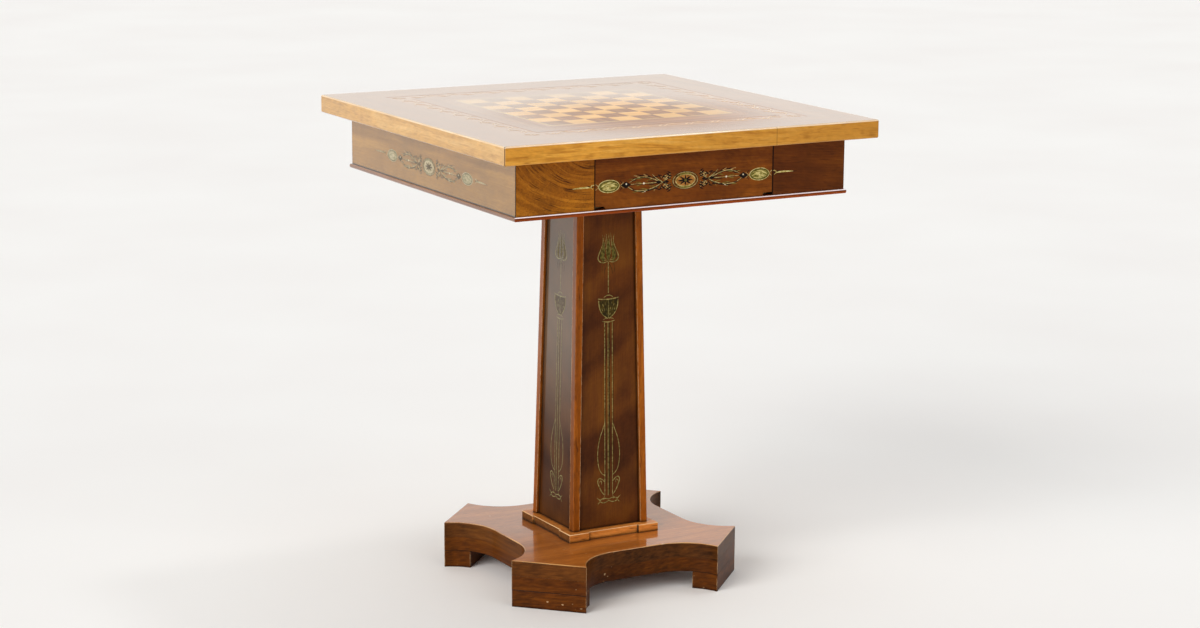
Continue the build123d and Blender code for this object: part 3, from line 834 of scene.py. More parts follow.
# %% Polishes
BARE = {"rough": 0.62, "ior": 1.4, "coat": 0.0, "blotch": 0.1, "curl": 0.08, "grime": 0}
SATIN = {"rough": 0.34, "ior": 1.33, "shine": 0.12, "coat": 0.03, "coat_rough": 0.12}
HIGH = {"rough": 0.2, "ior": 1.5, "coat": 1.0, "coat_rough": 0.045}
RUBBED = dict(SATIN, coat=0.7, coat_rough=0.05, upright=0.04)
TABLE_TOP = {"rough": 0.12, "ior": 1.5, "shine": 0.55, "coat": 0.7, "coat_rough": 0.03,
             "grime": 0, "thinned": ((10, -110, 750), 40, 290, 0.3)}
UPWARDS = (0, 0, 1)
LOW_DULL = (UPWARDS, 170, 440, 0.02)
FINISH = {}  # the material of each CAD piece
print("five polishes, and a coat that fades below", LOW_DULL[2], "mm")

# %% [markdown]
# # Lippings and beads
# The lippings that edge the top are birch under amber lacquer, quiet and golden, and their
# planed upper arris carries a painted highlight. The one before the sitter is rubbed, has a
# repair joint, and is browner towards its right end, where the wax is old. The beads under the
# box are mahogany, scraped to a round, with a line of painted shade under the round. The front
# one is the most polished and has a painted white highlight on its round, and the others have
# faded. A piece and its neighbour share one trunk here, since both lie along the same side.
# Tones are written from the pores to the palest fibre.

# %% Lippings and beads
BIRCH = ("#8E5212", "#BE7C26", "#D29438", "#E2AC56")
BIRCH_PALE = ("#94642C", "#B08038", "#C4944C", "#D8AE6A")
MAHOGANY = ("#3A1404", "#74300A", "#92400E", "#A85216")
BEAD_FADED = ("#3E2010", "#6E4428", "#845636", "#9A6A46")
REPAIR = 135.6  # where the front lipping was pieced, in mm from the middle
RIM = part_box("lipping_front")[0].y / MM  # how far out the top reaches to the front, in mm
BOX_MIDDLE = (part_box("drawer_front")[0].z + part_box("drawer_front")[1].z) / 2 / MM
BEAD_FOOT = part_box("bead_front")[0].z / MM
SIDES = {  # the way the wood runs, and the heart of its trunk
    "front": ("X", (40, RIM + 70, BOX_MIDDLE + 20)),
    "back": ("X", (-90, -RIM - 60, BOX_MIDDLE + 30)),
    "left": ("Y", (RIM + 80, 20, BOX_MIDDLE + 10)),
    "right": ("Y", (-RIM - 70, -60, BOX_MIDDLE + 25)),
}

for side, (along, heart) in SIDES.items():
    # Birch: fine pores and a faint figure, which give a calm golden band round the top.
    if side == "front":
        tones = BIRCH
        look = dict(RUBBED, lit_round=("#F4E2C4", 0.16, 0.6), joints=(("X", REPAIR, 0.4, 0.5),),
                    waxed=("#8A5824", (1, 0, 0), -220, 320, 0.33))
    else:
        tones = BIRCH_PALE
        look = dict(HIGH, coat=0.75, lit_round=("#EBCFA8", 0.16, 0.6))
    FINISH[f"lipping_{side}"] = wood(
        f"amber_birch_{side}", tones, along, heart, tilt=2, ring=11, wander=16, figure=0.35,
        curl=0.1, blotch=0.1, mottle=0.07, veins=0.45, pores=0.45, wear=0.5, mitred_ends=True,
        **look)
    # Mahogany: red brown, with painted shade under the round, and in front a painted highlight.
    if side == "front":
        tones = MAHOGANY
        # The joint here is a line of painted shade under the painted highlight, not a real joint.
        look = dict(SATIN, grime=0, lit_round=("#FFFAFF", 0.42, 0.9),
                    joints=(("Z", BEAD_FOOT + 4.1, 0.5, 0.6),))
    else:
        tones = BEAD_FADED
        # The line on the round is painted shade.
        look = dict(HIGH, coat=0.85, grime=0.9, joints=(("Z", BEAD_FOOT + 3.1, 0.3, 0.4),))
    FINISH[f"bead_{side}"] = wood(f"mahogany_bead_{side}", tones, along, heart, ring=9,
                                  figure=0.3, curl=0.15, grime_reach=3, **look)
print(len(FINISH), "lippings and beads")

# %% [markdown]
# # The box
# The box and its drawer are walnut, and the boards differ as real ones do. The lively board on
# the left was sawn near the heart of its tree, so its years run in wide arches with dark
# veins. The drawer front is even, and the board on the right is dark. The left side has been
# bleached by a window and is high in gloss. The seams beside the drawer are dark lines.

# %% The box
WALNUT = ("#2A1002", "#5A2A06", "#743C0A", "#8C4E12")
WALNUT_GOLD = ("#3A1A02", "#7A4408", "#9A5C12", "#B4721E")
WALNUT_PALE = ("#4E3008", "#7E5618", "#906626", "#A67A30")
WALNUT_DARK = ("#1C0A02", "#482004", "#5C2C06", "#703A0A")
BOX_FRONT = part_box("drawer_front")[0].y / MM  # how far out the box reaches, in mm
SEAMS = (("X", -153.3, 1.2, 0.6), ("X", 153.3, 1.2, 0.85))  # beside the drawer

# Walnut bleached by light: yellow and even, and its long reflections wash the grain out.
FINISH["rail_left"] = wood(
    "walnut_left_side", WALNUT_PALE, "Y", (BOX_FRONT - 90, 40, BOX_MIDDLE - 30), ring=8,
    figure=0.45, curl=0.12, mottle=0.06, pores=0.15, mitred_ends=True,
    joints=(("Z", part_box("rail_left")[0].z / MM + 0.4, 1.1, 0.9),), **dict(HIGH, coat=0.85))
# Plain walnut under high gloss: brown, with a soft change of light along the board.
FINISH["rail_right"] = wood(
    "walnut_right_side", WALNUT, "Y", (-BOX_FRONT + 80, 0, BOX_MIDDLE + 10), ring=9, figure=0.5,
    curl=0.18, mitred_ends=True, **HIGH)
FINISH["rail_back"] = wood(
    "walnut_back", WALNUT, "X", (60, -BOX_FRONT + 90, BOX_MIDDLE - 10), ring=9, figure=0.5,
    curl=0.18, mitred_ends=True, **HIGH)
# Walnut from near the heart: arches of gold and brown with a dark line at each year's end.
FINISH["front_panel_left"] = wood(
    "walnut_lively_board", WALNUT_GOLD, "X", (-158, BOX_FRONT, BOX_MIDDLE + 72), turn=40, tilt=0,
    ring=6, wander=12, figure=0.4, curl=0.2, mottle=0.1, veins=0.9, pores=0.3, flame=0.12,
    joints=SEAMS, mitred_ends=True, **SATIN)
# Walnut with a slanting ripple: the light runs across the drawer in slow patches.
FINISH["drawer_front"] = wood(
    "walnut_drawer_front", WALNUT, "X", (30, BOX_FRONT - 120, BOX_MIDDLE - 60), tilt=1.5, ring=8,
    wander=9, figure=0.42, curl=0.22, slant=25, blotch=0.34, mottle=0.12, veins=0.3, flame=0.06,
    joints=SEAMS, **SATIN)
# Dark heartwood: nearly chocolate, so that the front ends quietly at its right.
FINISH["front_panel_right"] = wood(
    "walnut_dark_board", WALNUT_DARK, "X", (300, BOX_FRONT - 70, BOX_MIDDLE + 20), tilt=5,
    ring=8, figure=0.45, curl=0.28, mottle=0.08, flame=0.12, joints=SEAMS, mitred_ends=True,
    **SATIN)
# The floors of the pockets, in which the inlay lies, are the wood of the boards themselves.
FINISH["drawer_inlay"] = FINISH["drawer_front"]
FINISH["box_inlay"] = FINISH["rail_left"]
print(len(FINISH), "finishes with the box")

# %% [markdown]
# # The column
# The four panels are crotch walnut, cut where a branch leaves the trunk, which gives the broad
# slanting flames. The front one is red and satin. The others are dim under a full coat, with a
# grey painted reflection that grows towards the top, and that polish fades towards the floor.
# The corner stiles are cherry stained orange, glossy in front and rubbed thin at their sides,
# with a painted highlight along their corners and painted shade on their sides.

# %% The column
WALNUT_RED = ("#220C04", "#4C240A", "#582E0A", "#66380C")
WALNUT_DIM = ("#1A0A04", "#381E0A", "#42220A", "#502E14")
CHERRY = ("#3A1604", "#78390A", "#965010", "#B0661C")
CHERRY_DARK = ("#301404", "#6A3606", "#844308", "#9D5913")
PANEL_HEARTS = {"front": (10, -150, 0), "back": (-20, 160, 0), "left": (-150, 15, 0),
                "right": (155, -10, 0)}
CORNERS = ("front_left", "front_right", "back_right", "back_left")

for side, heart in PANEL_HEARTS.items():
    # Crotch walnut: dark wood whose flames glow where they catch the light.
    if side == "front":
        tones, look = WALNUT_RED, SATIN
    else:
        tones = WALNUT_DIM
        # A grey tint that grows towards the top is painted reflection.
        look = dict(SATIN, coat=1.0, coat_rough=0.045, dulled=LOW_DULL,
                    waxed=("#8C7E68", UPWARDS, 180, 440, 0.25))
    FINISH[f"column_panel_{side}"] = wood(
        f"walnut_panel_{side}", tones, "Z", heart, tilt=2, ring=9, wander=12, figure=0.3,
        curl=0.26, slant=40, blotch=0.3, mottle=0.07, flame=0.32, pores=0.15, **look)
for number, corner in enumerate(CORNERS):
    # Stained cherry: straight orange strips that frame each panel. Their corners are pale with
    # wear and a painted highlight, and their sides are darkened with painted shade.
    nearest = corner == "front_left"
    FINISH[f"column_stile_{corner}"] = wood(
        f"cherry_stile_{corner}", CHERRY_DARK if nearest else CHERRY, "Z",
        (60 * (-1) ** number, 90 - 30 * number, 0), tilt=1, ring=6, figure=0.3, curl=0.16,
        pores=0.6, mottle=0.1, wear=0.6, handled=0.03, dulled=LOW_DULL,
        dark_sides=0.3 if nearest else 0.2, **dict(SATIN, coat=0.9, coat_rough=0.05))
print("four panels and", len(CORNERS), "stiles")

# %% [markdown]
# # The base
# The plinth is pale cherry with worn, knocked edges and a joint on either side of the column.
# Its sides are darkened with painted shade, and its upper round has a painted highlight.
# The platform is one board over another. The upper one has been bleached orange by light, and
# its edge is covered with veneer that runs level round the curved bays. The lower board and
# the feet are plain walnut, the most worn and knocked wood of the table, with dark edges. The
# pale corners of the base are wear and painted highlight. A fine dark seam lies where the
# boards meet.

# %% The base
CHERRY_LIGHT = ("#54260A", "#AC6226", "#D08036", "#E69A4C")
WALNUT_SUNNED = ("#42200A", "#90501C", "#B06626", "#C67C32")
PLINTH_JOINT = 44.4  # mm from the middle
BASE_SEAMS = (("Z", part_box("foot_front_left")[1].z / MM, 0.6, 0.8),)

# Cherry with painted shade on its sides: the palest and warmest board, with a painted highlight
# on its upper round.
FINISH["plinth"] = wood(
    "cherry_plinth", CHERRY_LIGHT, "X", (0, 30, 20), tilt=2, ring=7, figure=0.35, curl=0.18,
    pores=0.6, mottle=0.1, wear=0.8, knocks=0.25, dark_sides=0.78, grime_reach=8,
    joints=(("X", -PLINTH_JOINT, 0.8, 0.7), ("X", PLINTH_JOINT, 0.8, 0.7)),
    lit_round=("#F0CC96", 0.16, 0.4), **dict(RUBBED, coat=0.3))
# Sunned walnut: a broad orange sheen on top, much darker edges, and a painted highlight on the
# round.
FINISH["platform_upper"] = wood(
    "walnut_base_top", WALNUT_SUNNED, "X", (20, 60, -60), tilt=1.5, ring=10, wander=18,
    figure=0.3, curl=0.12, mottle=0.05, wear=0.5, knocks=0.25, lit_round=("#D09A5C", 0.16, 0.1),
    edge_veneer=0.83, dulled=((0.707, 0.707, 0), -250, -50, 0.1), **dict(RUBBED, coat=1.0))
# Walnut that has been kicked: blotched, with pale scars.
FINISH["platform_lower"] = wood(
    "walnut_base_under", WALNUT, "X", (-40, 20, -50), tilt=2, ring=9, figure=0.45, curl=0.2,
    blotch=0.3, mottle=0.12, wear=0.8, knocks=0.4, seam_above=True, edge_veneer=0.56,
    joints=BASE_SEAMS, **SATIN)
for number, corner in enumerate(CORNERS):
    FINISH[f"foot_{corner}"] = wood(
        f"walnut_foot_{corner}", WALNUT, "X", (30, -10 + 9 * number, -30), tilt=1, ring=7,
        figure=0.45, curl=0.2, blotch=0.3, mottle=0.14, wear=1.0, knocks=0.35, seam_above=True,
        edge_veneer=0.56, joints=BASE_SEAMS, **SATIN)
print(len(FINISH), "finishes with the base")

# %% [markdown]
# # The top
# The field and the border are rosewood veneer with mitred corners, the squares are maple and
# rosewood, and lines of boxwood and of a browner wood frame them. All of it is sanded flush
# and polished as one, so it shares one polish, and only tones and grain tell the woods apart.
# The light and the dark squares run crosswise to each other, as they are glued in strips.

# %% The top
FIELD = ("#5A2E16", "#8C5532", "#A87046", "#BE8A5E")
FIELD_LIGHT = ("#6E3C1E", "#A46C40", "#BC8456", "#CE9A6C")
SCROLLWOOD = ("#B07E4A", "#DDA86C", "#EEC08A", "#F8D6A8")
MAPLE = ("#A87034", "#CE9448", "#E6B062", "#F2C884")
ROSEWOOD = ("#3A1C0A", "#764420", "#96602E", "#AE783E")
BOXWOOD = ("#A88040", "#C9A35C", "#DDBE7C", "#EBD29A")
LINE_BROWN = ("#5A3220", "#8A5638", "#9C6444", "#AE7652")
SQUARE = 39  # mm

# Rosewood field: a warm brown that the polish turns to a pale mirror at a low angle.
FINISH["top_veneer"] = wood("rosewood_field", FIELD, "X", (0, 420, 690), tilt=2, ring=12,
                            wander=20, figure=0.5, curl=0.2, frame_grain=True, **TABLE_TOP)
# Rosewood border: a shade lighter, so that the band can be told from the field.
BAND_GRAIN = {"tilt": 2, "ring": 9, "figure": 0.4, "curl": 0.2, "frame_grain": True}
FINISH["border_band"] = wood("rosewood_border", FIELD_LIGHT, "X", (0, 300, 700), **BAND_GRAIN,
                             **TABLE_TOP)
# Satinwood scroll: honey coloured lines that shimmer in the band.
scroll_wood = wood("satinwood_scroll", SCROLLWOOD, "X", (0, 300, 700), **BAND_GRAIN,
                   **TABLE_TOP)
# Maple squares: bright and even, each with its own shade.
FINISH["light_squares"] = wood("maple_squares", MAPLE, "X", (0, 30, 700), tilt=2, ring=8,
                               figure=0.4, curl=0.2, blotch=0.1, pores=0.2, tile=SQUARE,
                               **TABLE_TOP)
# Rosewood squares: brown with darker streaks, each with its own shade.
FINISH["dark_squares"] = wood("rosewood_squares", ROSEWOOD, "Y", (30, 0, 700), tilt=2, ring=7,
                              figure=0.5, curl=0.2, blotch=0.1, tile=SQUARE, **TABLE_TOP)
# Stringing: lines so thin that only their colour shows.
for name, tones in (("board_stringing", BOXWOOD), ("border_stringing", LINE_BROWN)):
    FINISH[name] = wood(f"line_{name}", tones, "X", (0, 0, 700), figure=0.2, curl=0.05,
                        frame_grain=True, **TABLE_TOP)
print("the top is polished to a roughness of", TABLE_TOP["coat_rough"])

# %% [markdown]
# # Wood inside
# Nobody polishes what doesn't show. The drawer's sides and back are beech, pale and pinkish,
# and its bottom is birch plywood, whose wide plain figure comes from peeling the trunk. The
# core, blocks, guides and kickers are pine, yellow with clear years. All are planed and bare.

# %% Wood inside
PINE = ("#B08450", "#C99C62", "#DDB87E", "#EACB98")
BEECH = ("#A2754A", "#C29468", "#D4AA7E", "#E2BE94")

for name in ("drawer_side_left", "drawer_side_right"):
    FINISH[name] = wood(f"beech_{name}", BEECH, "Y", (0, 0, 640), tilt=2, figure=0.4, **BARE)
FINISH["drawer_back"] = wood("beech_drawer_back", BEECH, "X", (0, 160, 640), tilt=2,
                             figure=0.4, **BARE)
FINISH["drawer_bottom"] = wood("birch_plywood", BEECH, "X", (0, 0, 560), tilt=1, ring=14,
                               figure=0.6, **BARE)
for name in ("top_core", "box_bottom", "column_head_block", "column_foot_block", "drawer_stops"):
    FINISH[name] = wood(f"pine_{name}", PINE, "X", (0, 40, 600), tilt=2, ring=5, figure=0.6,
                        **BARE)
for name in ("drawer_guide_left", "drawer_guide_right", "kicker_left", "kicker_right"):
    FINISH[name] = wood(f"pine_{name}", PINE, "Y", (40, 0, 640), tilt=1, ring=5, figure=0.6,
                        **BARE)
for corner in CORNERS:
    FINISH[f"glue_block_{corner}"] = wood(f"pine_block_{corner}", PINE, "Z", (0, 0, 0), ring=5,
                                          figure=0.6, **BARE)
print(len(FINISH), "finishes of wood")

# %% [markdown]
# # Metal
# Two coach screws and four wood screws hold the table together. They are zinc plated steel:
# a grey metal that is slightly blue, with turning marks about 0.4 mm apart and a patchy,
# dull surface where it has been handled. A real mark is finer, and wouldn't show.

# %% Zinc plated steel
MARKS = 3.333  # mm across the screw, and an eighth of it along, from one mark to the next

zinc = bpy.data.materials.new("zinc_plated_steel")
zinc.use_nodes = True
tree = zinc.node_tree
tree.nodes.clear()
spot = add(tree, "ShaderNodeTexCoord")
turned = add(tree, "ShaderNodeMapping", {"Scale": (1, 1, 8)}, {"Vector": spot.outputs["Object"]})
marks = add(tree, "ShaderNodeTexNoise", {"Scale": 1 / (MARKS * MM), "Detail": 3.0},
            {"Vector": turned.outputs[0]})
tint = add(tree, "ShaderNodeValToRGB", {"stops": [(0.3, "#8E9093"), (0.7, "#B4B6B8")]},
           {"Fac": marks.outputs["Fac"]})
dull = add(tree, "ShaderNodeMapRange", {"To Min": 0.3, "To Max": 0.5},
           {"Value": marks.outputs["Fac"]})
ridge = add(tree, "ShaderNodeBump", {"Strength": 0.3, "Distance": 0.1 * MM},
            {"Height": marks.outputs["Fac"]})
steel = add(tree, "ShaderNodeBsdfPrincipled", {"Metallic": 1.0},
            {"Base Color": tint.outputs["Color"], "Roughness": dull.outputs[0],
             "Normal": ridge.outputs[0]})
add(tree, "ShaderNodeOutputMaterial", (), {"Surface": steel.outputs[0]})
for name in ("kicker_screws", "head_screw", "base_screw"):
    FINISH[name] = zinc
print("screws are", zinc.name)

# %% Paint the CAD pieces
for name, node in nodes.items():
    node.data.materials.clear()
    node.data.materials.append(FINISH[name])
print("painted", len(nodes), "CAD pieces with", len(set(FINISH.values())), "finishes")

# %% [markdown]
# # Inlay
# The ornament is marquetry finished with pen work: pale gilt lines, plates and leaves of
# yellow wood stained olive, black accents, and dots of bone. Each colour is one small
# material. The gilt is bronze powder in varnish, half metal and half paint, and is uneven
# where the varnish has darkened. The patches are a few millimetres across. On the sides that
# are seldom rubbed, yellowed lacquer has evened the colours out under a glossy coat, so each
# colour has an aged twin.

# %% Inlay materials
INLAY = {  # darkest and lightest tone, share of metal, roughness
    "walnut": ("#4A280C", "#74461A", 0.0, 0.45),
    "gilt": ("#7A683A", "#CAB678", 0.15, 0.42),
    "brass": ("#9C8A44", "#D4C684", 0.15, 0.4),
    "old_gilt": ("#544A20", "#A09258", 0.12, 0.45),
    "olive": ("#4E4A16", "#857A38", 0.0, 0.4),
    "moss": ("#3A340E", "#6C622C", 0.0, 0.45),
    "green": ("#201A0A", "#46380F", 0.0, 0.45),
    "ebony": ("#080504", "#1A100A", 0.0, 0.45),
    "tan": ("#7C4E1E", "#B07A3A", 0.0, 0.4),
    "bone": ("#CFC3A2", "#F2EAD2", 0.0, 0.4),
}
AGED = {  # the same colours, as age has left them
    "walnut_aged": ("#6C5634", "#84704C", 0.0, 0.4),
    "gilt_aged": ("#847652", "#AEA27E", 0.05, 0.4),
    "brass_aged": ("#908462", "#BCB090", 0.05, 0.4),
    "old_gilt_aged": ("#5A5230", "#8C8458", 0.05, 0.42),
    "olive_aged": ("#706A48", "#968C6A", 0.0, 0.4),
    "moss_aged": ("#4A3C1A", "#5E5024", 0.0, 0.4),
    "green_aged": ("#3A2A12", "#4A3618", 0.0, 0.4),
    "ebony_aged": ("#43371F", "#5A4B31", 0.0, 0.4),
    "tan_aged": ("#968866", "#B6A888", 0.0, 0.4),
    "bone_aged": ("#B0A888", "#D0C8A8", 0.0, 0.4),
}
VARNISH_PATCH = 3.846  # mm
AGED_COAT = 0.85
direction, low, high, left = LOW_DULL

inlay = {}
for name, (dark, light, metal, rough) in (INLAY | AGED).items():
    material = bpy.data.materials.new(f"inlay_{name}")
    material.use_nodes = True
    tree = material.node_tree
    tree.nodes.clear()
    spot = add(tree, "ShaderNodeTexCoord")
    patches = add(tree, "ShaderNodeTexNoise",
                  {"Scale": 1 / (VARNISH_PATCH * MM), "Detail": 3.0, "Roughness": 0.65},
                  {"Vector": spot.outputs["Object"]})
    tone = add(tree, "ShaderNodeValToRGB", {"stops": [(0.36, dark), (0.62, light)]},
               {"Fac": patches.outputs["Fac"]})
    dull = add(tree, "ShaderNodeMapRange", {"To Min": rough + 0.12, "To Max": rough - 0.1},
               {"Value": patches.outputs["Fac"]})
    rise = add(tree, "ShaderNodeBump", {"Strength": 0.2, "Distance": 0.1 * MM},
               {"Height": patches.outputs["Fac"]})
    shader = add(tree, "ShaderNodeBsdfPrincipled",
                 {"Metallic": metal, "IOR": 1.33, "Specular IOR Level": 0.12,
                  "Coat Roughness": 0.05},
                 {"Base Color": tone.outputs["Color"], "Roughness": dull.outputs[0],
                  "Normal": rise.outputs[0]})
    if name in AGED:
        rising = add(tree, "ShaderNodeVectorMath", {"operation": "DOT_PRODUCT", 1: direction},
                     {0: spot.outputs["Object"]})
        film = add(tree, "ShaderNodeMapRange",
                   {"interpolation_type": "SMOOTHSTEP", "From Min": low * MM,
                    "From Max": high * MM, "To Min": left, "To Max": AGED_COAT},
                   {"Value": rising.outputs["Value"]})
        tree.links.new(film.outputs[0], shader.inputs["Coat Weight"])
    add(tree, "ShaderNodeOutputMaterial", (), {"Surface": shader.outputs[0]})
    inlay[name] = material
print(len(inlay), "colours of inlay")

# %% [markdown]
# # Floors of the inlay pockets
# The CAD frame has a single piece for the floors of all the pockets round the box. Each floor
# is the wood of its own board, so the piece is shared out: a copy for every board keeps only
# the faces that lie in it, and the first copy stands for the CAD piece.

# %% Floors of the inlay pockets
BOX_BOARDS = ("rail_left", "rail_right", "rail_back", "front_panel_left", "front_panel_right")


def settle(name, shape, material, body, stands_for=()):
    """Makes a bmesh into a piece that rides on a CAD body."""
    mesh = bpy.data.meshes.new(name)
    shape.to_mesh(mesh)
    shape.free()
    mesh.materials.append(material)
    piece = bpy.data.objects.new(name, mesh)
    bpy.context.collection.objects.link(piece)
    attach(piece, body)
    if stands_for:
        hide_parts(*stands_for)
    return piece


def board_under(place):
    """The board of the box that a point of its inlay lies in."""
    if abs(place.x) > abs(place.y):
        return "rail_left" if place.x < 0 else "rail_right"
    if place.y > 0:
        return "rail_back"
    return "front_panel_left" if place.x < 0 else "front_panel_right"


for name in BOX_BOARDS:
    ground = bmesh.new()
    ground.from_mesh(nodes["box_inlay"].data)
    elsewhere = [face for face in ground.faces if board_under(face.calc_center_median()) != name]
    bmesh.ops.delete(ground, geom=elsewhere, context="FACES")
    settle(f"inlay_ground_{name}", ground, FINISH[name], "table",
           ["box_inlay"] if name == BOX_BOARDS[0] else ())
print("pocket floors in", len(BOX_BOARDS), "boards")

# %% [markdown]
# # Eased arrises
# No cabinet maker leaves a sharp corner. A pass of a block plane takes off a little, and that
# small flat is what catches the light along every edge, and what opens a thin dark groove
# where two boards meet. The CAD boards are sharp or only cut by flats, so the boards that
# show get a copy in which their loose triangles are joined, flat faces are made whole again
# and the long corners are bevelled. The copy stands for its CAD piece.

# %% Copies with eased arrises
ARRIS = {  # mm
    "lipping_front": 1.1, "lipping_back": 1.1, "lipping_left": 0.9, "lipping_right": 0.9,
    "rail_left": 0.5, "rail_right": 0.5, "rail_back": 0.5,
    "front_panel_left": 1.2, "front_panel_right": 1.2, "drawer_front": 1.4,
    "column_stile_front_left": 0.7, "column_stile_front_right": 0.7,
    "column_stile_back_left": 0.7, "column_stile_back_right": 0.7,
    "plinth": 0.55, "platform_upper": 0.8, "platform_lower": 0.7,
    "foot_front_left": 0.7, "foot_front_right": 0.7, "foot_back_left": 0.7,
    "foot_back_right": 0.7,
}
SAME_POINT = 0.001 * MM
SHORTEST = 9 * MM  # shorter edges belong to sockets and holes, and stay as they are
SAME_FLAT, CORNER, CREASE = (math.radians(angle) for angle in (0.6, 50, 38))

for name, arris in ARRIS.items():
    board = bmesh.new()
    board.from_mesh(nodes[name].data)
    bmesh.ops.remove_doubles(board, verts=board.verts, dist=SAME_POINT)
    bmesh.ops.dissolve_limit(board, angle_limit=SAME_FLAT, verts=board.verts, edges=board.edges)
    corners = [
        edge for edge in board.edges
        if len(edge.link_faces) == 2 and edge.calc_length() > SHORTEST
        and edge.calc_face_angle() > CORNER
    ]
    bmesh.ops.bevel(board, geom=corners, offset=arris * MM, offset_type="OFFSET",
                    affect="EDGES", segments=2, profile=0.5, material=-1, clamp_overlap=True)
    for surface in board.faces:
        surface.smooth = True
    copy = settle(f"{name}_eased", board, FINISH[name], nodes[name]["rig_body"], [name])
    copy.data.set_sharp_from_angle(angle=CREASE)
    even = copy.modifiers.new("even_shading", "WEIGHTED_NORMAL")
    even.keep_sharp = True
    print(name, "eased by", arris, "mm on", len(corners), "edges")

# %% [markdown]
# # How the inlaid lines are drawn
# A figure is drawn flat, with x across and y up in mm, and is then stood against its board.
# A line is a smooth curve through a few points, each with its own half width, so that it
# swells and tapers like a brush stroke, and a leaf is only a short, fat stroke. The curve is
# made a mesh and pressed flat, which leaves a low rounded strip that catches the light. A
# plate or a dot is a cone that doesn't taper, very low, with more or fewer sides, and scaled
# to its width and height.

# %% Strokes and plates
PRESSED = 0.22  # thickness of a line as a share of its width
EIGHTHS = [math.radians(45 * number) for number in range(8)]


def mirrored(lines):
    """The same lines and their mirror images about the middle."""
    return list(lines) + [[(-across, up, half) for across, up, half in line] for line in lines]


def flipped(lines):
    """The same lines and their images below the middle."""
    return list(lines) + [[(across, -up, half) for across, up, half in line] for line in lines]


def petals(middle, *rounds):
    """Eight petals about a middle. A round is the reach across, the reach up and a half width."""
    return [[(middle + across * math.cos(turn), up * math.sin(turn), half)
             for across, up, half in rounds] for turn in EIGHTHS]


def drawn_lines(lines, rise=0.0, resolution=4):
    """A bmesh with one low strip for each line of (across, up, half width) points.

    rise is how far in mm the middle of the strips lies over the board, as on a plate.
    """
    curve = bpy.data.curves.new("stroke", "CURVE")
    curve.dimensions = "3D"
    curve.resolution_u = resolution
    curve.bevel_depth = MM
    curve.bevel_resolution = 1
    curve.use_fill_caps = True
    for line in lines:
        closed = line[0] == line[-1]
        points = line[:-1] if closed else line
        spline = curve.splines.new("NURBS")
        spline.points.add(len(points) - 1)
        for knot, (across, up, half) in zip(spline.points, points):
            knot.co = (across * MM, up * MM, 0, 1)
            knot.radius = half
        spline.order_u = min(3, len(points))
        spline.use_cyclic_u = closed
        spline.use_endpoint_u = not closed
    holder = bpy.data.objects.new("stroke", curve)
    bpy.context.collection.objects.link(holder)
    bpy.context.view_layer.update()
    evaluated = holder.evaluated_get(bpy.context.evaluated_depsgraph_get())
    mesh = bpy.data.meshes.new_from_object(evaluated)
    shape = bmesh.new()
    shape.from_mesh(mesh)
    bpy.data.objects.remove(holder)
    bpy.data.curves.remove(curve)
    bpy.data.meshes.remove(mesh)
    bmesh.ops.remove_doubles(shape, verts=shape.verts, dist=SAME_POINT / 2)
    bmesh.ops.scale(shape, vec=(1, 1, PRESSED), verts=shape.verts)
    bmesh.ops.translate(shape, vec=(0, 0, rise * MM), verts=shape.verts)
    bmesh.ops.recalc_face_normals(shape, faces=shape.faces)
    return shape


def plates(spots, thickness):
    """A bmesh with a thin plate for each (sides, across, up, half width, half height)."""
    shape = bmesh.new()
    for sides, across, up, wide, high in spots:
        made = bmesh.ops.create_cone(shape, cap_ends=True, segments=sides, radius1=MM,
                                     radius2=MM, depth=thickness * MM)["verts"]
        bmesh.ops.scale(shape, vec=(wide, high, 1), verts=made)
        bmesh.ops.translate(shape, vec=(across * MM, up * MM, thickness * MM / 2), verts=made)
    bmesh.ops.recalc_face_normals(shape, faces=shape.faces)
    return shape


def stood(shapes, places):
    """One bmesh with copies of the shapes at every place, and the shapes are used up."""
    joined = bmesh.new()
    for shape in shapes:
        flat = bpy.data.meshes.new("flat")
        shape.to_mesh(flat)
        shape.free()
        for place in places:
            first = len(joined.verts)
            joined.from_mesh(flat)
            joined.verts.ensure_lookup_table()
            bmesh.ops.transform(joined, matrix=place, verts=joined.verts[first:])
        bpy.data.meshes.remove(flat)
    for surface in joined.faces:
        surface.smooth = False
    return joined


print("a 1.2 mm line stands", round(1.2 / 2 * PRESSED, 2), "mm proud")

# %% [markdown]
# # The figure round the box
# The same figure lies in the middle of all four sides: a large oval with a black star, a
# lattice, sprays of leaves, a black lozenge, a small oval, and a spear at each end. It is
# drawn for the right half and mirrored, and what is the same above and below is drawn once
# and flipped. Every line is a row of points, each a place across, a place up and a half width
# in mm. On the front, what lies within the drawer rides on the drawer, and the ends stay on
# the box, so no line crosses the gap.

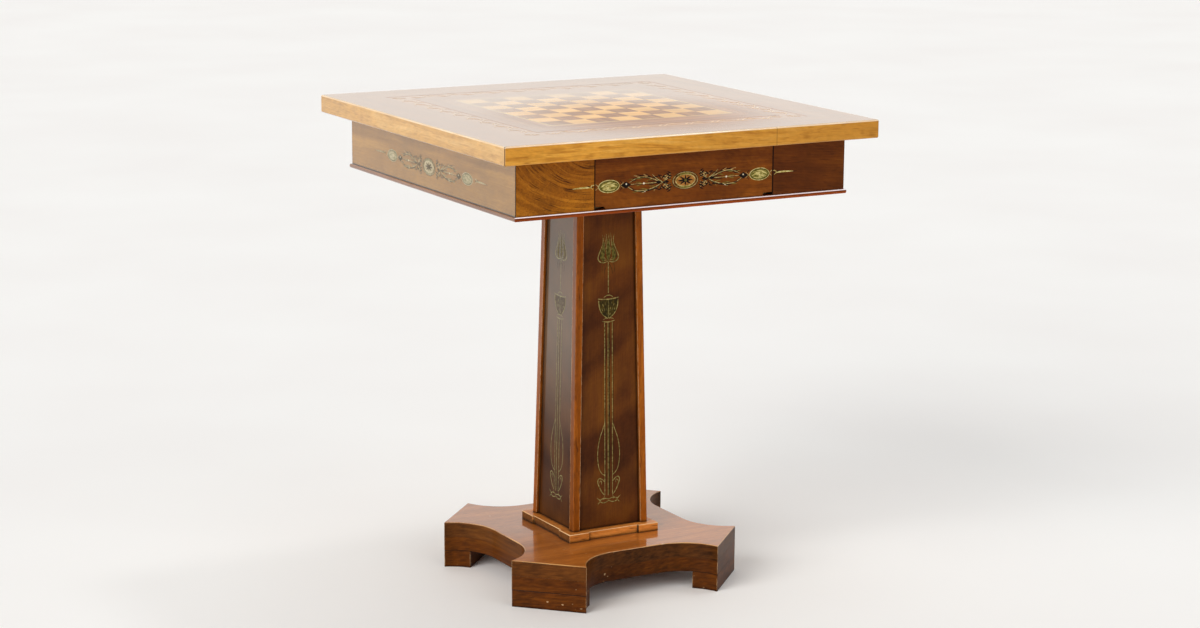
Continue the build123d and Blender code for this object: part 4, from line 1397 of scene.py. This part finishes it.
# %% Figure of the box: branches and hooks
branches = [
    [(25, 8.0, 0.3), (30, 4.8, 0.5), (37, 0.4, 0.55), (45, -3.6, 0.55), (54, -7.2, 0.55),
     (64, -9.8, 0.55), (75, -10.6, 0.55), (86, -9.6, 0.5), (94, -6.0, 0.4), (98.5, -2.4, 0.25)],
    [(25, -8.0, 0.3), (30, -4.8, 0.5), (37, -0.4, 0.55), (45, 3.4, 0.55), (52, 7.8, 0.55),
     (56.5, 12.6, 0.2)],
    [(41, 0.6, 0.3), (50, 3.6, 0.5), (60, 7.6, 0.55), (70, 10.2, 0.55), (80, 10, 0.5),
     (88, 7, 0.4), (95, 3.4, 0.2)],
    [(96, 0.2, 0.25), (84, 0.5, 0.4), (70, 0.2, 0.45), (56, 0, 0.45), (45, 0.2, 0.5)],
]
hooks = [
    [(31, 9.6, 0.3), (35, 9.4, 0.5), (37.4, 6.2, 0.5), (35.8, 3.4, 0.4), (32.6, 4.0, 0.3)],
    [(31, -9.6, 0.3), (35, -9.0, 0.5), (37.4, -6.0, 0.5), (35.8, -3.2, 0.4), (32.6, -4.0, 0.3)],
    [(62, 8.4, 0.25), (66, 11, 0.5), (71.5, 13.6, 0.2)],
    [(49, -5.4, 0.25), (51.5, -9, 0.45), (54, -12.6, 0.2)],
    [(66, -9.8, 0.25), (69, -12, 0.45), (74, -13.6, 0.2)],
    [(78, 10, 0.25), (82, 12, 0.45), (88, 12.8, 0.2)],
    [(110.4, 0.4, 0.3), (107.6, 1.8, 0.45), (105, 4.6, 0.2)],
    [(110.4, -0.4, 0.3), (107.6, -1.8, 0.45), (105, -4.6, 0.2)],
    [(147.8, 0.4, 0.3), (149.2, 3.2, 0.6), (151.8, 4.2, 0.45)],
    [(147.8, -0.4, 0.3), (149.4, -3.0, 0.5), (151.8, -3.8, 0.35)],
] + flipped([
    [(25.5, 3, 0.3), (31, 6.4, 0.45), (37, 8.6, 0.45), (43, 7.2, 0.25)],
    [(25, 12, 0.3), (28.5, 10, 0.5), (32.5, 6.4, 0.45), (36, 2.2, 0.3)],
])
print(len(branches), "branches and", len(hooks), "hooks")

# %% [markdown]
# A leaf is a short line that is widest in its middle. The pale leaves hang on the branches,
# and dark ones fill the gaps between them, so that the spray has depth. Each branch also has
# a dark edge below it, as if it had been cut with a fine chisel. The spears lie on the fixed
# boards, beyond the seams of the drawer.

# %% Figure of the box: leaves and spears
EDGE_DROP, EDGE_WIDTH = 1.0, 0.8  # mm below its branch, and share of the branch's width
leaves = [
    [(71, 9.6, 0.1), (76, 7.4, 1.1), (84, 7.6, 0.1)],
    [(57, 6.6, 0.1), (61, 4.2, 1.0), (67, 3.6, 0.1)],
    [(63, -9.2, 0.1), (70, -7.4, 1.1), (78, -7.6, 0.1)],
    [(79, -10, 0.1), (84, -12.2, 0.9), (90, -11.6, 0.1)],
    [(74, 0.4, 0.1), (79, 2.6, 0.9), (85, 3.0, 0.1)],
    [(74, 0, 0.1), (79, -2.4, 0.9), (85, -2.8, 0.1)],
    [(50, -6, 0.1), (56, -4, 1.0), (62, -4.6, 0.1)],
    [(88, 6.6, 0.1), (92, 8.2, 0.8), (97, 7.8, 0.1)],
]
dark_leaves = [
    [(40, 3.4, 0.3), (44, 7.2, 1.3), (46.5, 11.4, 0.2)],
    [(39, -3.2, 0.3), (42, -6.6, 1.5), (43.5, -11, 0.3)],
    [(27, 8.6, 0.4), (29.6, 11.6, 1.5), (33, 13, 0.4)],
    [(27, -8.6, 0.4), (29.6, -11.2, 1.5), (33, -12.4, 0.4)],
    [(52, 3.2, 0.1), (57, 2.0, 1.0), (64, 2.8, 0.1)],
    [(53, -3.0, 0.1), (58, -2.0, 1.0), (65, -2.6, 0.1)],
    [(60, 9.4, 0.2), (65, 12.6, 0.9), (69, 15, 0.1)],
    [(73, 11.8, 0.2), (78, 12.8, 0.8), (84, 14.6, 0.1)],
    [(84, 6.0, 0.2), (88, 4.6, 1.0), (93, 5.4, 0.1)],
    [(57, -9.6, 0.2), (63, -11.8, 0.8), (68, -11.6, 0.1)],
    [(88, -7, 0.2), (92, -4.4, 0.9), (96, -4.0, 0.1)],
    [(107, 2.6, 0.2), (109.6, 5.2, 0.9), (111.4, 8, 0.1)],
    [(107, -2.6, 0.2), (109.6, -5.2, 0.9), (111.4, -8, 0.1)],
    [(30, 4.4, 0.3), (35, 1.2, 1.2), (41, -2.2, 0.5)],
    [(30, -4.4, 0.3), (35, -1.4, 1.2), (41, 2.0, 0.5)],
    [(34, 10.8, 0.3), (37.6, 10.2, 1.1), (39.6, 6.4, 0.3)],
    [(34, -10.6, 0.3), (37.6, -9.8, 1.1), (39.6, -6, 0.3)],
    [(45, -5.4, 0.3), (53, -9.2, 0.8), (60, -11, 0.2)],
    [(46, 5.4, 0.3), (53, 6.6, 0.8), (59, 9.2, 0.2)],
    [(69, 8.6, 0.2), (75, 8.4, 0.8), (81, 8.4, 0.2)],
    [(70, -9, 0.2), (76, -9, 0.7), (82, -8.6, 0.2)],
    [(47, 1.4, 0.3), (52, 0.9, 0.8), (57, 0.9, 0.3)],
    [(47, -1.2, 0.3), (52, -0.9, 0.8), (57, -0.9, 0.3)],
] + flipped([
    [(23.4, 7.2, 0.4), (27, 9.8, 2.2), (31.5, 9.8, 0.4)],
    [(24.6, 3.4, 0.4), (27.6, 5.6, 2.0), (31.5, 6.2, 0.4)],
    [(24.8, 11.2, 0.4), (27.4, 14, 1.7), (31, 15, 0.3)],
    [(33, 7.4, 0.4), (37, 8.2, 1.8), (41, 7.0, 0.4)],
    [(40.5, 9.4, 0.4), (44, 11, 1.4), (48, 10.6, 0.3)],
    [(46, 8.4, 0.4), (50, 9.2, 1.4), (54.5, 8.0, 0.3)],
    [(58, 9, 0.3), (62, 10, 1.3), (67, 9.2, 0.3)],
    [(70, 11.6, 0.3), (74, 12.4, 1.2), (79, 11.6, 0.3)],
    [(82, 8.6, 0.3), (86, 9.4, 1.2), (91, 7.4, 0.3)],
])
dark_leaves += [[(across + 0.2, up - EDGE_DROP, EDGE_WIDTH * half) for across, up, half in line]
                for line in branches]
ends = [
    [(154.4, 3.4, 0.5), (157.2, 3.8, 0.6), (159.6, 2.0, 0.6), (159.2, -1.2, 0.55),
     (156, -2.4, 0.3)],
    [(160, 0.2, 0.6), (166, 0.9, 1.3), (179, 0.8, 1.15), (190, 0.3, 0.4)],
]
dark_ends = [[(154.8, 0.6, 0.4), (156.8, 1.2, 1.2), (158.2, -0.2, 0.4)],
             [(159.5, 0.6, 0.4), (162.4, 2.2, 1.0), (166, 2.6, 0.3)],
             [(188, 0.4, 0.3), (192, -0.4, 0.6), (196.5, 0.8, 0.2)]]
print(len(leaves), "pale and", len(dark_leaves), "dark leaves")

# %% [markdown]
# The ovals are stacks of thin plates, each a little smaller and thicker than the one below,
# which leaves a line of every colour round the next. A plate is written as the number of its
# sides, the place of its middle, and half its width and height. Four sides give a lozenge.
# The star, the flecks in the ring and the swirls of the small ovals are lines that are raised
# on to the plates.

# %% Figure of the box: plates
OVAL = 129.5  # middle of the small ovals, across
RING = (18.8, 10.4)  # half the width and height of the ring round the middle
middle_plates = {
    "ebony": ([(48, 0, 0, 22.6, 13.4)], 0.05),
    "gilt": ([(48, 0, 0, 21.6, 12.6)], 0.08),
    "walnut": ([(48, 0, 0, 20.8, 11.9)], 0.11),
    "brass": ([(48, 0, 0, 17.2, 9.2)], 0.14),
    "tan": ([(48, 0, 0, 16.2, 8.4)], 0.17),
    "moss": ([(20, 0, 0, 2.3, 1.9)], 0.6),
}
side_plates = {
    "brass": ([(48, OVAL, 0, 17.8, 9.6)], 0.06),
    "ebony": ([(48, OVAL, 0, 16.5, 8.5), (4, 101, 0, 8.6, 5.0), (4, 45.5, 0.2, 4.6, 2.6),
               (4, 31.5, 0, 3.6, 2.2)], 0.10),
    "olive": ([(48, OVAL, 0, 15.4, 7.6)], 0.14),
    "bone": ([(14, 71, 0.3, 1.5, 1.5), (14, 100.6, 1.4, 1.2, 1.2),
              (12, 69, -11.8, 0.8, 0.8)], 0.2),
}
rim_bits = [  # dark and pale flecks in the ring round the middle
    [(RING[0] * math.cos(turn + more), RING[1] * math.sin(turn + more), half)
     for more, half in ((0, 0.2), (0.12, 0.75), (0.24, 0.2))]
    for turn in [math.radians(22.5 * number) for number in range(16)]
]
swirls = [
    [(OVAL - 13, -2, 0.4), (OVAL - 8, 1.8, 1.6), (OVAL - 1, -0.6, 1.7), (OVAL + 5, -3.2, 1.5),
     (OVAL + 10, -1.6, 0.4)],
    [(OVAL - 5, 5, 0.3), (OVAL + 2, 5.2, 1.3), (OVAL + 9, 2.4, 1.4), (OVAL + 13, -0.4, 0.4)],
    [(OVAL - 10, -4.6, 0.3), (OVAL - 4, -5.6, 1.1), (OVAL + 2, -6, 0.3)],
    [(OVAL - 12, 3.2, 0.3), (OVAL - 8.5, 4.6, 0.8), (OVAL - 5, 3, 0.3)],
    [(OVAL - 6, 2.8, 0.3), (OVAL, 2.2, 1.0), (OVAL + 6, 0.4, 0.3)],
    [(OVAL + 3, -5.8, 0.3), (OVAL + 8, -4.4, 0.9), (OVAL + 12, -2.6, 0.3)],
    [(OVAL - 3, -3.4, 0.3), (OVAL + 1, -4.2, 0.8), (OVAL + 5, -5.4, 0.3)],
]
ring_arcs = [  # green arcs over and under the middle, between its two outlines
    [(19 * math.cos(turn), hand * 10.5 * math.sin(turn), half)
     for turn, half in ((math.radians(40), 0.2), (math.radians(65), 1.1), (math.radians(90), 1.3),
                        (math.radians(115), 1.1), (math.radians(140), 0.2))]
    for hand in (1, -1)
]
star = petals(0, (1.6, 1.2, 0.9), (6.6, 4.2, 2.1), (12.6, 7.4, 0.25))
print("the small ovals lie", OVAL, "mm from the middle")

# %% [markdown]
# The figure was drawn flat, so it is turned upright, moved to the plane of the drawer front
# and half way up, and turned by quarters for the other sides. Each colour is one piece on the
# drawer and one on the box, and the sides take the aged twin of the colour.

# %% Stand the figure on the four sides
# Up in the drawing becomes up on the table, and its thickness comes forward.
against = Matrix(((1, 0, 0, 0), (0, 0, -1, 0), (0, 1, 0, 0), (0, 0, 0, 1)))
figure_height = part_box("drawer_inlay")[0].z / 2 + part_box("drawer_inlay")[1].z / 2
QUARTERS = (90, 180, 270)
front_place = Matrix.Translation((0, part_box("drawer_front")[0].y, figure_height)) @ against
other_places = [Matrix.Rotation(math.radians(turn), 4, "Z") @ front_place
                for turn in QUARTERS]
LINES = {  # lines on the board, lines that lie on plates, and how high those are raised
    "gilt": (mirrored(branches + hooks), [], 0),
    "brass": ([], mirrored(swirls), 0.16),
    "olive": (mirrored(leaves), ring_arcs, 0.12),
    "ebony": (mirrored(dark_leaves), star + rim_bits, 0.2),
}


def both_hands(spots):
    """The plates and their mirror images."""
    return spots + [(sides, -across, up, wide, high) for sides, across, up, wide, high in spots]


def box_figure(colour):
    """The bmeshes of one colour, for the part of the figure that the drawer carries."""
    lines, raised, rise = LINES.get(colour, ([], [], 0))
    shapes = [drawn_lines(lines)] if lines else []
    if raised:
        shapes.append(drawn_lines(raised, rise=rise))
    if colour in middle_plates:
        shapes.append(plates(*middle_plates[colour]))
    if colour in side_plates:
        spots, thickness = side_plates[colour]
        shapes.append(plates(both_hands(spots), thickness))
    return shapes


for colour in INLAY:
    shapes = box_figure(colour)
    if shapes:
        settle(f"drawer_figure_{colour}", stood(shapes, [front_place]), inlay[colour],
               "drawer")
        settle(f"box_figure_{colour}", stood(box_figure(colour), other_places),
               inlay[f"{colour}_aged"], "table")
for name, lines, colour, aged in (("gilt", ends, "brass", "gilt_aged"),
                                  ("dark", dark_ends, "ebony", "ebony_aged")):
    settle(f"front_ends_{name}", stood([drawn_lines(mirrored(lines))], [front_place]),
           inlay[colour], "table")
    settle(f"box_ends_{name}", stood([drawn_lines(mirrored(lines))], other_places),
           inlay[aged], "table")
print("figure on four sides,", round(figure_height / MM), "mm above the floor")

# %% [markdown]
# # The figure on the column
# Each panel of the column has a tall flower: a closed bud on a long stem, a shield, three
# strings that run down through a lyre, and a scroll at the foot. The panels lean in towards
# the top by about one degree, so the figure is stood against them with the same lean, which
# is worked out from the CAD panel.

# %% Figure of the column: bud
bud_lines = mirrored([
    [(-0.8, 514.5, 0.5), (-6, 512.2, 0.7), (-13, 513, 0.8), (-18.6, 517.6, 0.85),
     (-18, 524, 0.75), (-13.6, 533, 0.6), (-9.4, 543, 0.5), (-8.8, 552, 0.4), (-11, 557, 0.12)],
    [(-3, 516, 0.4), (-9.5, 516.6, 0.6), (-14, 521, 0.6), (-11, 528, 0.6), (-6.6, 537, 0.5),
     (-4.8, 547, 0.4), (-6.4, 556, 0.12)],
    [(0, 517, 0.5), (-4.8, 526, 0.55), (-2.4, 539, 0.5), (-2.6, 551, 0.4), (-4, 559, 0.12)],
    [(-2, 516, 0.3), (-8, 520, 0.45), (-8.6, 527, 0.45), (-4.6, 536, 0.3)],
]) + [[(0, 526, 0.4), (0.3, 543, 0.6), (0.2, 559, 0.12)]]
droops = mirrored([
    [(-1.5, 510, 0.3), (-6, 505, 0.8), (-7.6, 494, 0.2)],
    [(-9, 511, 0.3), (-12, 504, 0.7), (-10.5, 496, 0.2)],
    [(-15.5, 519, 0.4), (-14.4, 526, 0.9), (-10.4, 536, 0.3)],
    [(-3.6, 519, 0.3), (-2.6, 530, 0.8), (-2.2, 541, 0.2)],
])
bud_fill = mirrored([
    [(-7, 513.4, 0.4), (-12, 519.5, 4.6), (-8.5, 532, 3.2), (-7.4, 546, 0.3)],
]) + [[(0, 515, 0.6), (0, 524, 4.8), (0, 538, 2.8), (0, 552, 0.2)]]
print(len(bud_lines), "lines in the bud")

# %% [markdown]
# The stem runs from the bud into a green shield with gilt flecks, and out of it hang the
# strings. They are half a millimetre wide, with a dark shade beside each.

# %% Figure of the column: shield and strings
stem_lines = [
    [(0, 513, 0.6), (0, 488, 0.6), (0, 464, 0.6)],
    [(-8.6, 456.4, 0.2), (-4.4, 460.6, 0.7), (4.4, 460.6, 0.7), (8.6, 456.4, 0.2)],
    [(-18.5, 455.8, 0.5), (-8, 454, 0.9), (8, 454, 0.9), (18.5, 455.8, 0.5)],
    [(-18.2, 452.4, 0.3), (-8, 451, 0.5), (8, 451, 0.5), (18.2, 452.4, 0.3)],
    [(0, 453, 0.6), (0, 440, 0.6), (0, 424, 0.6)],
    [(-11.4, 419.6, 0.4), (-4, 417.8, 0.7), (4, 417.8, 0.7), (11.4, 419.6, 0.4)],
] + mirrored([
    [(-17.4, 453, 0.6), (-17.2, 444, 0.7), (-12.8, 433, 0.7), (-6, 426.4, 0.7),
     (-1, 423.4, 0.5)],
    [(-13, 450, 0.3), (-12.4, 443, 0.4), (-9, 434.6, 0.4), (-4.4, 429.6, 0.2)],
    [(-1, 423.6, 0.4), (-5.6, 424.6, 0.5), (-9.6, 421.8, 0.25)],
])
flecks = mirrored([
    [(-10.6, 447, 0.2), (-9.4, 445, 0.42), (-8.6, 442.6, 0.2)],
    [(-6, 449, 0.2), (-5, 446.6, 0.45), (-4.6, 444, 0.2)],
    [(-8, 440, 0.2), (-7, 437.6, 0.42), (-6, 435.6, 0.2)],
    [(-3.6, 441, 0.2), (-3, 438, 0.42), (-2.6, 435.4, 0.2)],
    [(-12, 440, 0.2), (-11, 438, 0.5), (-10, 436, 0.2)],
    [(-3.2, 432, 0.2), (-2.6, 430, 0.5), (-2, 428, 0.2)],
])
strings = mirrored([[(-6.9, 417, 0.5), (-6.9, 300, 0.5), (-6.9, 140, 0.5)]])
strings += [[(-0.9, 417, 0.5), (-0.9, 300, 0.5), (-0.9, 138, 0.5)]]
shade = [[(1.2, 416, 0.9), (1.2, 300, 1.2), (1.2, 140, 1.0)],
         [(-5.2, 416, 0.5), (-5.2, 330, 0.6), (-5.2, 160, 0.5)],
         [(8.4, 416, 0.4), (8.4, 330, 0.5), (8.4, 170, 0.3)]]
print(len(strings), "strings")

# %% [markdown]
# The strings end in a lyre, whose arms are two long curves and two short ones, with a scroll
# below. Then the whole figure is stood on its panel. What it stands on is measured from the
# CAD panel: half its width at the foot and at the head gives the lean. The shield is cut from
# an oval plate with a bisecting plane, because only its lower half is wanted.

# %% Figure of the column: lyre
lyre = mirrored([
    [(-6.9, 256, 0.4), (-10.5, 246, 0.45), (-17, 230, 0.5), (-20.6, 207, 0.55),
     (-18.4, 184, 0.5), (-12, 173, 0.5), (-7, 171, 0.5)],
    [(-7, 160, 0.5), (-10.5, 164.5, 0.6), (-17.5, 168, 0.75), (-20.5, 162, 0.75),
     (-16.6, 152, 0.7), (-10.6, 141, 0.65), (-6.5, 138.5, 0.5)],
    [(-13, 157, 0.25), (-12, 161.6, 0.5), (-15.5, 163.2, 0.5), (-17.2, 159.4, 0.25)],
    [(0, 131.5, 0.5), (-5, 133.6, 0.65), (-12, 133.4, 0.7), (-17, 130, 0.65),
     (-12, 126.6, 0.7), (-5, 126.6, 0.65), (0, 129.5, 0.5)],
    [(-15.5, 131, 0.5), (-18.5, 133.4, 0.6), (-21.5, 136, 0.2)],
    [(-15.5, 129.4, 0.5), (-18, 126.6, 0.6), (-20.5, 124.6, 0.2)],
    [(-7, 137, 0.3), (-9.4, 134.8, 0.4), (-8.6, 131.4, 0.2)],
])
print(len(lyre), "lines in the lyre")

# %% Stand the figure on the column
SHIELD_TOP = 453  # mm above the floor, like all heights of this figure
FOOT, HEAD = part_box("column_panel_front")[0].z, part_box("column_panel_front")[1].z
corners = [vertex.co for vertex in nodes["column_panel_right"].data.vertices]
low_half = max(corner.x for corner in corners if corner.z < FOOT + MM)
high_half = max(corner.x for corner in corners if corner.z > HEAD - MM)
lean = math.atan2(low_half - high_half, HEAD - FOOT)
column_place = (Matrix.Translation((0, -low_half, FOOT)) @ Matrix.Rotation(-lean, 4, "X")
                @ against @ Matrix.Translation((0, -FOOT, 0)))
column_places = [Matrix.Rotation(math.radians(turn), 4, "Z") @ column_place
                 for turn in (0, *QUARTERS)]
for name, places, age in (("front", column_places[:1], ""), ("other", column_places[1:], "_aged")):
    shield = plates([(36, 0, SHIELD_TOP, 16.6, 28)], 0.1)
    bmesh.ops.bisect_plane(shield, geom=shield.verts[:] + shield.edges[:] + shield.faces[:],
                           plane_co=(0, SHIELD_TOP * MM, 0), plane_no=(0, 1, 0),
                           clear_outer=True)
    bmesh.ops.holes_fill(shield, edges=shield.edges, sides=0)
    bmesh.ops.recalc_face_normals(shield, faces=shield.faces)
    for colour, shapes in (
        ("green", [shield, drawn_lines(shade + droops)]),
        ("moss", [drawn_lines(bud_fill)]),
        ("old_gilt", [drawn_lines(bud_lines + stem_lines + strings + lyre),
                      drawn_lines(flecks, rise=0.1)]),
    ):
        settle(f"column_figure_{name}_{colour}", stood(shapes, places), inlay[colour + age],
               "table")
print("the panels lean by", round(math.degrees(lean), 2), "degrees")

# %% [markdown]
# # The border of the top
# A running scroll lies in the band round the chess board, with a star in each corner. It is
# flush with the polish, so the band itself is set a hair lower in a copy, and the scroll
# rises from it to the level of the top. Nothing then stands above the table.

# %% Ground of the border
TOP = cad_high.z
BAND_DROP = 0.14 * MM
band = bmesh.new()
band.from_mesh(nodes["border_band"].data)
outer_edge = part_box("border_band")[1].x
inner_edge = min(max(abs(vertex.co.x), abs(vertex.co.y)) for vertex in band.verts)
band_centre = (outer_edge + inner_edge) / 2 / MM
bmesh.ops.remove_doubles(band, verts=band.verts, dist=SAME_POINT)
upper = [vertex for vertex in band.verts if vertex.co.z > TOP - 0.1 * MM]
bmesh.ops.translate(band, vec=(0, 0, -BAND_DROP), verts=upper)
settle("border_ground", band, FINISH["border_band"], "table", ["border_band"])
print("the band lies", round(BAND_DROP / MM, 2), "mm low")

# %% [markdown]
# The scroll is one row of bends that turn up and down by turns, each as wide as a share of
# the side, with two leaves. It is drawn for one side, and stood on the four sides by quarter
# turns. Whatever stands over the level of the top is then pressed flush, as if sanded.

# %% Scroll of the border
BENDS, CORNER_ROOM = 18, 22  # of the scroll along a side, and mm kept for the corner's star
scroll = []
scroll_leaves = []
width = 2 * (band_centre - CORNER_ROOM) / BENDS
for number in range(BENDS):
    start = -band_centre + CORNER_ROOM + number * width
    hand = 1 if number % 2 else -1
    scroll.append([(start, 0, 1.0), (start + width * 0.3, hand * 8, 1.6),
                   (start + width * 0.7, hand * 8, 1.6), (start + width, 0, 1.0)])
    scroll_leaves += [
        [(start + width * 0.3, hand * 6, 0.3), (start + width * 0.5, hand * 1, 3.2),
         (start + width * 0.8, -hand * 5, 0.3)],
        [(start + width * 0.5, hand * 7, 0.3), (start + width * 0.65, hand * 11, 2.4),
         (start + width * 0.95, hand * 13, 0.3)],
    ]
corner_star = petals(-band_centre, (1.5, 1.5, 0.4), (6, 6, 2.6), (12, 12, 0.2))
top_places = [
    Matrix.Rotation(math.radians(turn), 4, "Z") @ Matrix.Translation((0, -band_centre * MM, TOP))
    for turn in (0, *QUARTERS)
]


def flush(shape):
    """Presses whatever stands over the level of the top down to it."""
    above = [vertex for vertex in shape.verts if vertex.co.z > TOP]
    bmesh.ops.scale(shape, vec=(1, 1, 0), space=Matrix.Translation((0, 0, -TOP)), verts=above)
    bmesh.ops.recalc_face_normals(shape, faces=shape.faces)
    return shape


drawn = drawn_lines(scroll + corner_star, resolution=3)
settle("border_scroll", flush(stood([drawn], top_places)), scroll_wood, "table")
drawn = drawn_lines(scroll_leaves, rise=-0.03, resolution=3)
settle("border_leaves", flush(stood([drawn], top_places)), scroll_wood, "table")
print("the border runs", round(band_centre, 1), "mm from the middle")
